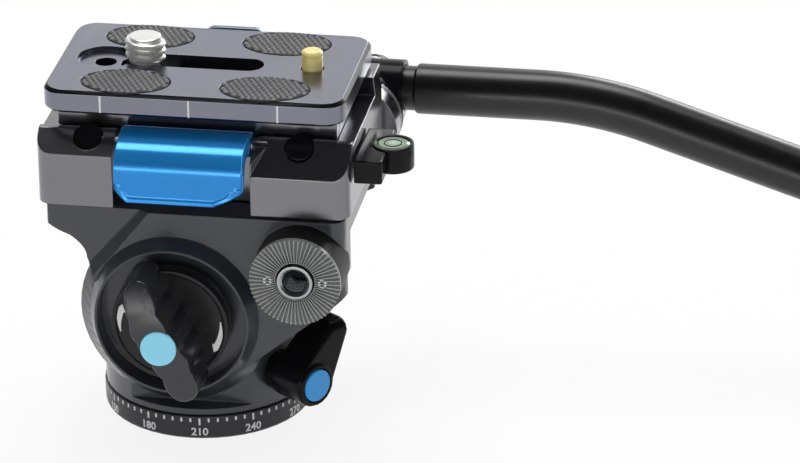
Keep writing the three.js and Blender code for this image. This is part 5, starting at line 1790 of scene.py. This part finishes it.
@dataclass
class Clamp(Assembly):
    """The clamp with its plugs, its blue lever, the jaw, the catch and the level."""

    lever_y: float = -18.6
    lever_z: float = 73.6
    lever_front: float = -14.6
    lever_rear: float = 15.7
    lever_thickness: float = 2.3
    barrel_radius: float = 2.9
    barrel_offset: float = 0.4
    curve: tuple[Point2, ...] = ((-0.6, 2.0), (-12.6, 0.4), (-9.7, -3.0), (-10.5, -11.0))
    front_cut: Point2 = (3.0, 4.2)
    rear_cut: Point2 = (7.2, 4.6)
    lip_width: float = 1.3
    lip_height: float = 0.12
    lip_slope: float = 0.2
    groove_width: float = 0.4
    groove_depth: float = 0.05
    lever_steps: int = 60
    lever_edge: float = 0.35
    lever_edge_angle: float = 50.0
    barrel_edge: float = 0.4
    columns: tuple[float, ...] = (
        0, 0.012, 0.024, 0.036, 0.048, 0.06, 0.075, 0.1, 0.14, 0.2, 0.3, 0.4, 0.5, 0.6, 0.7, 0.8, 0.85,
        *(0.87 + 0.01 * step for step in range(14)), 1,
    )
    ear_rear: float = 45.8
    cup: Point2 = (46.6, -7.5)
    cup_radius: float = 4.9
    vial_radius: float = 3.95
    vial_depth: float = 0.9
    shoulder: float = 0.3
    ring_top: float = 0.06
    ring_half: float = 0.16
    bubble_offset: Point2 = (0.2, -0.1)
    bubble_radius: float = 1.5
    screw: ScrewSize = ScrewSize(2.7, 2.0, 1.4, 1.2, 1.5)

    def build(self) -> None:
        """Makes and hands over the pieces of the clamp."""
        self.refined("clamp_body", "clamp_block", BLACK_CLAMP, 0.0, "tilt_unit", "clamp_paint")
        self.refined("clamp_jaw", "clamp_jaw_bar", BLACK_CLAMP, 0.3, "jaw", "clamp_paint")
        self.refined("clamp_plug_front", "front_plug", GLOSS_BLACK, 0.12, "tilt_unit", "black_plastic")
        self.refined("clamp_plug_rear", "rear_plug", GLOSS_BLACK, 0.12, "tilt_unit", "black_plastic")
        self.hand_over(self.lever(), "lever", "blue_anodised", "clamp_lever")
        self.refined("safety_catch", "catch_blade", PALE_CATCH, 0.4, "catch", "pale_blue", segments=3)
        self.dress(DULL_STEEL, "clamp_lever_pin", "catch_pin")
        self.clamp_screws()
        self.level()

    def on_curve(self, share: float) -> tuple[Vector, Vector]:
        """Gives a place on the lever's curve.

        Args:
            share: How far along the curve, from 0 to 1.

        Returns:
            The place and the direction across the curve.
        """
        a, b, c, d = (Vector(point) for point in self.curve)
        rest = 1 - share
        place = a * rest ** 3 + b * 3 * rest ** 2 * share + c * 3 * rest * share ** 2 + d * share ** 3
        along = ((b - a) * rest ** 2 + (c - b) * 2 * rest * share + (d - c) * share ** 2).normalized()
        return place, Vector((along.y, -along.x))

    def lever(self) -> Piece:
        """Makes the blue lever: a curved blade with two cut corners and a lip, on a round barrel.

        Returns:
            The blade. The barrel is handed over here.
        """
        lowest = self.curve[-1][1]
        outer: list[list[Vector]] = []
        inner: list[list[Vector]] = []
        for step in range(self.lever_steps + 1):
            place, across = self.on_curve(step / self.lever_steps)
            height = place.y - lowest
            start = self.lever_front + corner_cut(height, *self.front_cut)
            end = self.lever_rear - corner_cut(height, *self.rear_cut)
            columns = [start + (end - start) * share for share in self.columns]
            proud = [self.lip(height, x - start, end - x) for x in columns]
            half = self.lever_thickness / 2
            for rows, way, extra in ((outer, 1, 1.0), (inner, -1, 0.0)):
                rows.append([Vector((x, *(place + across * way * (half + more * extra))))
                             for x, more in zip(columns, proud)])
        blade = Form().skin([front + list(reversed(back)) for front, back in zip(outer, inner)])
        place = Matrix.Translation((0, self.lever_y, self.lever_z))
        piece = blade.piece("release_lever", place, BLUE_LEVER, BLADE_ANGLE)
        self.round_edges(piece, self.lever_edge, 3, self.lever_edge_angle)
        outline = ellipse(self.barrel_radius, self.barrel_radius, 40)
        barrel = Form().slab(outline, 0.0, self.lever_rear - self.lever_front, self.barrel_edge)
        axis = (self.lever_front, self.lever_y + self.barrel_offset, self.lever_z)
        turn = placed(axis, (1, 0, 0), (0, 1, 0))
        self.hand_over(barrel.piece("lever_barrel", turn, BLUE_LEVER, BLADE_ANGLE), "lever", "blue_anodised")
        return piece

    def lip(self, height: float, from_start: float, from_end: float) -> float:
        """Gives how far the blade stands proud near its lower edge, with a fine groove above the lip.

        Args:
            height: The height above the blade's lowest point.
            from_start: How far the place is from the front end.
            from_end: How far it is from the rear end.

        Returns:
            How far it stands proud.
        """
        reach = height
        for (length, rise), along in ((self.front_cut, from_start), (self.rear_cut, from_end)):
            if height < rise:
                reach = min(reach, along * rise / math.hypot(rise, length))
        if reach < self.lip_width:
            return self.lip_height + self.lip_slope * (self.lip_width - reach)
        return -self.groove_depth if reach < self.lip_width + self.groove_width else 0.0

    def clamp_screws(self) -> None:
        """Makes the two screws that hold the clamp on the casting, heads down."""
        low, high = span("clamp_screw_1")
        rear = middle("clamp_screw_2")
        front = middle("clamp_screw_1")
        place = placed(((front.x + rear.x) / 2, 0, 0), (0, 0, -1), (1, 0, 0))
        self.screws(
            "clamp_screws", DULL_STEEL, place, self.screw, (rear.x - front.x) / 2, 0.0,
            -low.z, high.z - low.z - self.screw.head_height, "tilt_unit", "clamp_screw_1", "clamp_screw_2",
        )

    def level(self) -> None:
        """Makes the round level: its ear, the rim, the fluid, two rings and the bubble."""
        low, high = span("level_housing")
        x, y = self.cup
        meet = math.acos((self.ear_rear - x) / self.cup_radius)
        arc = [(x + self.cup_radius * math.cos(turn), y + self.cup_radius * math.sin(turn))
               for turn in (meet * (step / 20 - 1) for step in range(41))]
        outline = filleted([
            (low.x, low.y), (self.ear_rear, low.y, 0.8), *arc, (self.ear_rear, high.y, 0.8), (low.x, high.y),
        ], closed=True)
        top = high.z
        ear = Form().slab(outline, low.z, top - 0.4, 0.5).piece("level_ear", UPRIGHT, GLOSS_BLACK)
        self.hand_over(ear, "tilt_unit", "black_plastic", "level_housing")
        fluid = Fluid("vial_fluid", (0.12, 0.24, 0.11, 1), 0.08, centre=(x, y, top), radius=self.vial_radius)
        pale = Fluid("bubble_pale", (0.26, 0.38, 0.25, 1), 0.05, centre=(x, y, top), radius=1.7)
        vial = self.vial_radius
        foot, shoulder, ring_top = top - self.vial_depth, top - self.shoulder, top - self.ring_top
        place = Matrix.Translation((x, y, 0))
        rim = [(vial, foot), (self.cup_radius, foot), (self.cup_radius, top, 0.3), (vial, top, 0.2)]
        self.lathe("level_rim", rim, place, GLOSS_BLACK, "tilt_unit", "black_plastic", closed=True)
        self.lathe("level_fluid", [
            (0, foot), (vial, foot), (vial, shoulder), (vial - 0.8, top - 0.14, 0.4), (0, top - 0.1),
        ], place, fluid, "tilt_unit", "vial", "level_vial")
        for name, radius, finish, slot in (
                ("level_outer_ring", 3.1, pale, "vial"),
                ("level_inner_ring", 2.0, GLOSS_BLACK, "black_plastic"),
        ):
            inner, outer = radius - self.ring_half, radius + self.ring_half
            band = [(inner, shoulder), (outer, shoulder), (outer, ring_top), (inner, ring_top)]
            self.lathe(name, band, place, finish, "tilt_unit", slot, closed=True)
        side, ahead = self.bubble_offset
        self.lathe("level_bubble", [
            (0, shoulder), (self.bubble_radius, shoulder), (self.bubble_radius - 0.1, ring_top, 0.3),
            (0, top - 0.01),
        ], Matrix.Translation((x + side, y + ahead, 0)), pale, "tilt_unit", "vial", sides=48)


def corner_cut(height: float, length: float, rise: float, bow: float = 1.6) -> float:
    """Gives how far an end is cut back at a height, along a slope that rounds by its bow."""
    share = max(0.0, min(1.0, 1.0 - height / rise))
    return length * (share ** bow)


@dataclass
class CameraPlate(Assembly):
    """The quick release plate with its rubber pads, index lines, camera screw and pin."""

    edge: float = 0.12
    line_places: tuple[float, ...] = (-19.1, 1.6, 22.3)
    line_width: float = 0.42
    line_low: float = 80.7
    line_high: float = 84.8
    ink: float = 0.04
    hatch_rows: int = 19
    hatch_pitch: float = 1.45
    hatch_slant: float = 0.45
    hatch_turn: float = 20.0
    hatch_height: float = 0.36
    pad_border: float = 0.5
    pad_edge: float = 0.12
    rim_depth: float = 1.0
    rim_slope: Point2 = (0.3, 0.93)
    screw_x: float = -12.7
    thread_radius: float = 4.76
    root_radius: float = 3.95
    pitch: float = 1.5875
    tip_radius: float = 3.6
    tip_chamfer: float = 1.0
    foot_radius: float = 5.8
    foot_height: float = 3.0
    neck_radius: float = 3.3
    neck_top: float = 85.2
    thread_foot: float = 86.55
    run_out: float = 0.1
    thread_sink: float = 0.05
    thread_breadth: float = 0.44
    pin_radius: float = 2.45
    pin_flange_height: float = 1.3
    pin_groove: float = 0.12

    def build(self) -> None:
        """Makes and hands over the pieces of the plate."""
        plate = self.refined("quick_release_plate", "camera_plate", DARK_PLATE, self.edge,
                             "plate", "plate_anodised")
        # Faces near the top that slope upwards get the near-black finish: painted shade standing for the dark
        # that the chamfer mirrors.
        rim = span("quick_release_plate")[1].z - self.rim_depth
        least, most = self.rim_slope
        tint_faces(plate, PLATE_CHAMFER_PAINTED_SHADE, lambda centre, normal: least < normal.z < most and centre.z > rim)
        self.lines()
        hatch = cross_hatch_tree()
        for number in range(1, 5):
            self.pad(hatch, number)
        self.dress(DULL_STEEL, "camera_screw_slider")
        self.camera_screw()
        self.pin()

    def lines(self) -> None:
        """Makes the three index lines on the near edge of the plate."""
        face = -span("quick_release_plate")[0].y
        form = Form()
        for x in self.line_places:
            half = self.line_width / 2
            outline = [(x - half, self.line_low), (x + half, self.line_low),
                       (x + half, self.line_high), (x - half, self.line_high)]
            form.skin([ring_at(outline, face - self.ink), ring_at(outline, face + self.ink)])
        place = Matrix(((1, 0, 0, 0), (0, 0, -1, 0), (0, 1, 0, 0), (0, 0, 0, 1)))
        self.hand_over(form.piece("index_lines", place, WHITE_PRINT), "plate", "plate_anodised")

    def pad(self, hatch: GeometryTree, number: int) -> None:
        """Makes one oval pad with its cross-hatched top.

        Args:
            hatch: The tree of the hatch.
            number: The pad's number.
        """
        node = f"grip_pad_{number}"
        low, high = span(node)
        centre = middle(node)
        half_length, half_width = (high.x - low.x) / 2, (high.y - low.y) / 2
        base = high.z - self.hatch_height
        place = Matrix.Translation((centre.x, centre.y, 0))
        body = Form().slab(ellipse(half_length, half_width), low.z, base, self.pad_edge, low_edge=0.0)
        self.hand_over(body.piece(f"pad_{number}", place, PAD_RUBBER), "plate", "pad_rubber", node)
        # The studs get a lighter finish than the pad they stand on: painted light on their tops.
        studs = hatch.grow(f"pad_{number}_studs", PAD_STUD_PAINTED_LIGHT, place, {
            "Half Length": half_length - self.pad_border, "Half Width": half_width - self.pad_border,
            "Rows": self.hatch_rows, "Pitch": self.hatch_pitch, "Slant": self.hatch_slant,
            "Base": base, "Height": self.hatch_height, "Turn": math.radians(self.hatch_turn),
        }, sharp=20.0)
        self.hand_over(studs, "plate", "pad_rubber")

    def camera_screw(self) -> None:
        """Makes the camera screw: a turned core and a helical thread."""
        low, high = span("camera_screw")
        place = Matrix.Translation((self.screw_x, 0, 0))
        steel = Turned("camera_screw_steel", (0.82, 0.82, 0.8, 1), 0.24, 0.7, centre=(self.screw_x, 0, 0))
        shoulder = high.z - self.tip_chamfer
        foot = low.z + self.foot_height
        root = self.root_radius
        self.lathe("camera_screw_core", [
            (0, low.z), (self.foot_radius, low.z, 0.3), (self.foot_radius, foot, 0.3),
            (self.neck_radius, foot), (self.neck_radius, self.neck_top), (root, self.neck_top + 0.4),
            (root, shoulder), (self.tip_radius, high.z - 0.1, 0.15), (self.tip_radius - 0.35, high.z, 0.1),
            (0, high.z),
        ], place, steel, "screw", "steel", "camera_screw", sides=72)
        thread = thread_tree().grow("camera_screw_thread", steel, place, {
            "Radius": root - self.thread_sink, "Pitch": self.pitch,
            "Turns": (shoulder - self.thread_foot + self.run_out) / self.pitch,
            "Depth": self.thread_radius - root + self.thread_sink,
            "Breadth": self.pitch * self.thread_breadth, "Start": self.thread_foot, "Sides": 8, "Steps": 48,
        }, sharp=50.0)
        self.hand_over(thread, "screw", "steel")

    def pin(self) -> None:
        """Makes the brass pin with its flange under the plate."""
        low, high = span("video_pin")
        centre = middle("video_pin")
        brass = Turned("pin_brass", (1.0, 0.8, 0.33, 1), 0.3, 0.3, centre=(centre.x, 0, 0), pitch=0.14)
        flange = (high.x - low.x) / 2
        step = low.z + self.pin_flange_height
        radius, waist = self.pin_radius, self.pin_radius - self.pin_groove
        self.lathe("brass_pin", [
            (0, low.z), (flange, low.z, 0.2), (flange, step, 0.2), (radius, step),
            (radius, high.z - 1.5, 0.1), (waist, high.z - 1.38, 0.05), (waist, high.z - 1.2, 0.05),
            (radius, high.z - 1.08, 0.05), (radius, high.z - 0.4, 0.1), (radius - 0.45, high.z, 0.1),
            (0, high.z),
        ], Matrix.Translation((centre.x, 0, 0)), brass, "pin", "brass", "video_pin", sides=64)


@dataclass
class PanBar(Assembly):
    """The pan bar: lug, bent tube, grip with its cap, and the lever that tightens it."""

    bar_y: float = 40.0
    bar_z: float = 64.9
    tube_radius: float = 6.05
    neck_radius: float = 5.35
    neck_start: float = 36.0
    tube_start: float = 44.8
    bend_start: float = 73.0
    bend_radius: float = 88.0
    bend_angle: float = 18.4
    tail: float = 142.0
    grip_length: float = 96.0
    grip_radius: float = 12.0
    waist_radius: float = 10.6
    cap_thickness: float = 4.7
    rib_count: int = 22
    rib_thickness: float = 0.7
    rib_sink: float = 0.75
    rear_rib_count: int = 9
    rear_rib_pitch: float = 2.4
    rear_rib_start: float = -22.0
    sleeve_depth: float = 0.6
    cap_start: float = 0.6
    lug_radius: float = 10.2

    def build(self) -> None:
        """Makes and hands over the pieces of the pan bar."""
        lug = self.refined("pan_bar_lug", "bar_lug", LEVER_BLACK, 0.0, "bar", "black_plastic")
        tint_faces(lug, PALE_DRUM, on_drum(middle("rosette_far"), self.lug_radius))
        self.refined("pan_bar_lever", "bar_lever", LEVER_BLACK, 0.0, "bar_lock", "black_plastic")
        self.dress(DULL_STEEL, "pan_bar_bolt")
        self.tube()
        self.grip()

    def end_frame(self) -> Matrix:
        """Gives the frame of the grip: its origin at the tube's end and Z along the tube, outwards.

        Returns:
            The frame, in millimetres.
        """
        bend = math.radians(self.bend_angle)
        x = self.bend_start + self.bend_radius * math.sin(bend) + self.tail * math.cos(bend)
        z = self.bar_z - self.bend_radius * (1 - math.cos(bend)) - self.tail * math.sin(bend)
        return placed((x, self.bar_y, z), (math.cos(bend), 0, -math.sin(bend)), (0, 1, 0))

    def tube(self) -> None:
        """Makes the bent tube and its neck."""
        bend = math.radians(self.bend_angle)
        corner = self.bend_start + self.bend_radius * math.tan(bend / 2)
        end = self.end_frame().translation
        body = bent_tube_tree().grow("bar_tube", BAR_BLACK, UPRIGHT, {
            "Start": (self.tube_start, self.bar_y, self.bar_z), "Corner": (corner, self.bar_y, self.bar_z),
            "End": tuple(end), "Bend Radius": self.bend_radius, "Radius": self.tube_radius,
            "Sides": 64, "Steps": 24,
        })
        self.hand_over(body, "bar", "bar_paint", "pan_bar_tube")
        inner, meet = self.tube_radius - 0.1, self.tube_start + 0.4
        self.lathe("bar_neck", [
            (0, self.neck_start), (self.neck_radius, self.neck_start),
            (self.neck_radius, self.tube_start - 0.8), (inner, self.tube_start - 0.2, 0.2),
            (inner, meet), (0, meet),
        ], placed((0, self.bar_y, self.bar_z), (1, 0, 0), (0, 1, 0)), BAR_BLACK, "bar", "bar_paint", sides=64)

    def grip(self) -> None:
        """Makes the ribbed grip and its end cap."""
        place = self.end_frame()
        bore = self.tube_radius + 0.3
        length = self.grip_length
        waist, swell = self.waist_radius - self.sleeve_depth, self.grip_radius - self.sleeve_depth
        self.lathe("grip_sleeve", [
            (bore, -length), (waist - 1.0, -length, 0.6), (waist, -length + 3.0, 2.0),
            (waist, -length / 2, 20.0), (swell, -length / 4, 20.0), (swell, 0.3, 0.4), (bore, 0.3),
        ], place, HANDLE_RUBBER, "bar", "handle_rubber", "pan_bar_grip", steps=8, closed=True)
        pitch = (0.5 * length - 8.0) / (self.rib_count - 1)
        ribs = rib_row_tree()
        for name, count, step, start, outer in (
                ("grip_ribs_front", self.rib_count, pitch, -length + 6.0, self.waist_radius),
                ("grip_ribs_rear", self.rear_rib_count, self.rear_rib_pitch, self.rear_rib_start,
                 self.grip_radius),
        ):
            row = ribs.grow(name, HANDLE_RUBBER, place, {
                "Count": count, "Pitch": step, "Start": start, "Radius": outer - self.rib_sink,
                "Thickness": self.rib_thickness, "Sides": 64,
            })
            self.hand_over(row, "bar", "handle_rubber")
        end = self.cap_start + self.cap_thickness
        self.lathe("grip_cap", [
            (0, self.cap_start), (self.grip_radius, self.cap_start, 0.3), (self.grip_radius, end, 2.2),
            (3.6, end, 0.4), (3.2, end - 0.5), (0, end - 0.5),
        ], place, GLOSS_BLACK, "bar", "black_plastic", "pan_bar_end_cap", steps=8)


def ray_kinds(graph: Graph) -> tuple[Flow, Flow]:
    """Tells kinds of light rays apart.

    Args:
        graph: The graph of a surface or of the world.

    Returns:
        1 for a ray from the camera, and 1 for a ray that a surface mirrors or lets through, else 0.
    """
    outputs = graph.node("ShaderNodeLightPath").outputs
    camera, glossy, passed = (Flow(graph, outputs[f"Is {kind} Ray"])
                              for kind in ("Camera", "Glossy", "Transmission"))
    return camera, graph.maths("MAXIMUM", glossy, passed)


@dataclass
class Studio:
    """The floor, the lamps, the world and the camera at the photograph's place."""

    azimuth: float = 9.93
    elevation: float = 24.53
    roll: float = -0.76
    distance: float = 1200.0
    focal_pixels: float = 5132.5
    photo_width: float = 800.0
    target: tuple[float, float, float] = (46.63, 0.0, 45.46)
    sensor: float = 36.0
    floor_radius: float = 4.0
    paper: tuple[Colour, Colour] = ((0.88, 0.88, 0.885, 1), (0.92, 0.92, 0.925, 1))
    mottle: float = 60.0
    card_middle: float = 3.0
    card_edges: Point2 = (75.0, 125.0)
    card_level: float = 0.12
    near_edges: Point2 = (-90.0, 60.0)
    far_edges: Point2 = (-220.0, -600.0)
    dim_level: float = 0.38
    fade_edges: Point2 = (200.0, 800.0)
    fade_level: float = 0.86
    wall_edges: Point2 = (0.5, 0.8)
    wall_level: float = 0.1
    ceiling_tilt: float = 0.3
    ceiling_edges: Point2 = (0.42, 0.6)
    ceiling_level: float = 0.02
    fill: float = 0.42
    lamp_target: tuple[float, float, float] = (0.05, 0, 0.04)
    lamps: tuple[tuple[str, tuple[float, float, float], Point2, float], ...] = (
        ("top_softbox", (-0.1, 0.5, 1.5), (1.3, 0.75), 17.0),
        ("front_strip", (-0.1, -1.6, 0.13), (2.2, 0.18), 5.0),
        ("back_softbox", (0.4, 1.35, 0.55), (0.8, 0.35), 6.0),
    )

    def build(self) -> None:
        """Sets up the whole studio."""
        self.floor()
        self.world()
        for name, place, size, power in self.lamps:
            self.lamp(name, Vector(place), size, power)
        self.camera()
        bpy.context.scene.view_settings.view_transform = "Standard"

    def floor(self) -> None:
        """Lays a plain pale floor whose far part fades into the white background."""
        graph = SurfaceGraph("studio_floor")
        camera, glossy = ray_kinds(graph)
        reach = graph.measured("LENGTH", graph.place())
        across, ahead, _ = graph.parts(graph.place())
        aside = graph.maths("ABSOLUTE", across - self.card_middle)
        cards = graph.clamped_range(aside, *self.card_edges, 1.0, self.card_level)
        near = graph.clamped_range(ahead, *self.near_edges, self.dim_level, 1.0)
        far = graph.clamped_range(ahead, *self.far_edges, self.dim_level, 1.0)
        front = graph.maths("MAXIMUM", near, far)
        fade = graph.clamped_range(reach, *self.fade_edges, self.fade_level, 1.0)
        shown = camera * fade + (1.0 - camera) * glossy * front * cards
        paper = graph.mixed(graph.noise(self.mottle, 3.0), *self.paper)
        matt = graph.out("ShaderNodeBsdfDiffuse", values={"Color": paper})
        white = graph.out("ShaderNodeEmission", values={"Color": (1, 1, 1, 1), "Strength": 1.0})
        mix = graph.out("ShaderNodeMixShader", values={0: shown, 1: matt, 2: white})
        graph.node("ShaderNodeOutputMaterial", values={"Surface": mix})
        data = bpy.data.meshes.new("studio_floor")
        shape = bmesh.new()
        bmesh.ops.create_circle(shape, cap_ends=True, segments=96, radius=self.floor_radius)
        shape.to_mesh(data)
        shape.free()
        data.materials.append(graph.material)
        floor = bpy.data.objects.new("studio_floor", data)
        bpy.context.scene.collection.objects.link(floor)

    def world(self) -> None:
        """Makes a white horizon under a darker ceiling."""
        world = bpy.data.worlds.new("studio_world")
        world.use_nodes = True
        graph = Graph(world.node_tree)
        graph.tree.nodes.clear()
        camera, glossy = ray_kinds(graph)
        aside, behind, height = graph.parts(graph.out("ShaderNodeTexCoord", output="Generated"))
        walls = graph.clamped_range(graph.maths("ABSOLUTE", aside), *self.wall_edges, 1.0, self.wall_level)
        rise = height - behind * self.ceiling_tilt
        ceiling = graph.clamped_range(rise, *self.ceiling_edges, 1.0, self.ceiling_level) * walls
        other = 1.0 - graph.maths("MAXIMUM", glossy, camera)
        strength = camera + (1.0 - camera) * glossy * ceiling + other * self.fill
        background = graph.out("ShaderNodeBackground", values={"Color": (1, 1, 1, 1), "Strength": strength})
        graph.node("ShaderNodeOutputWorld", values={"Surface": background})
        bpy.context.scene.world = world

    def lamp(self, name: str, place: Vector, size: Point2, power: float) -> None:
        """Hangs a rectangular lamp that points at the head.

        Args:
            name: The lamp's name.
            place: Where it hangs, in metres.
            size: Its width and height.
            power: Its power, in watts.
        """
        data = bpy.data.lights.new(name, "AREA")
        data.shape = "RECTANGLE"
        data.size, data.size_y = size
        data.energy = power
        lamp = bpy.data.objects.new(name, data)
        lamp.location = place
        lamp.rotation_euler = (Vector(self.lamp_target) - place).to_track_quat("-Z", "Y").to_euler()
        bpy.context.scene.collection.objects.link(lamp)

    def camera(self) -> None:
        """Sets the camera where the photograph was taken from."""
        turn, lift, roll = (math.radians(angle) for angle in (self.azimuth, self.elevation, self.roll))
        ahead = Vector((-math.sin(turn) * math.cos(lift), math.cos(turn) * math.cos(lift), -math.sin(lift)))
        right = Vector((math.cos(turn), math.sin(turn), 0))
        up = right.cross(ahead)
        across = right * math.cos(roll) + up * math.sin(roll)
        upward = up * math.cos(roll) - right * math.sin(roll)
        data = bpy.data.cameras.new("photo_camera")
        data.sensor_width = self.sensor
        data.lens = self.sensor * self.focal_pixels / self.photo_width
        camera = bpy.data.objects.new("photo_camera", data)
        camera.matrix_world = Matrix((across, upward, -ahead)).transposed().to_4x4()
        camera.location = (Vector(self.target) - ahead * self.distance) * MM
        bpy.context.scene.collection.objects.link(camera)
        bpy.context.scene.camera = camera


def main() -> None:
    """Builds the studio and every sub-assembly."""
    logging.basicConfig(level=logging.INFO, format="%(message)s")
    Studio().build()
    assemblies: tuple[Assembly, ...] = (
        Foot(), PanUnit(), PanLock(), TiltCasting(), TiltLock(), Clamp(), CameraPlate(), PanBar(),
    )
    for assembly in assemblies:
        LOG.info("building %s", type(assembly).__name__)
        assembly.build()


if __name__ == "__main__":
    main()
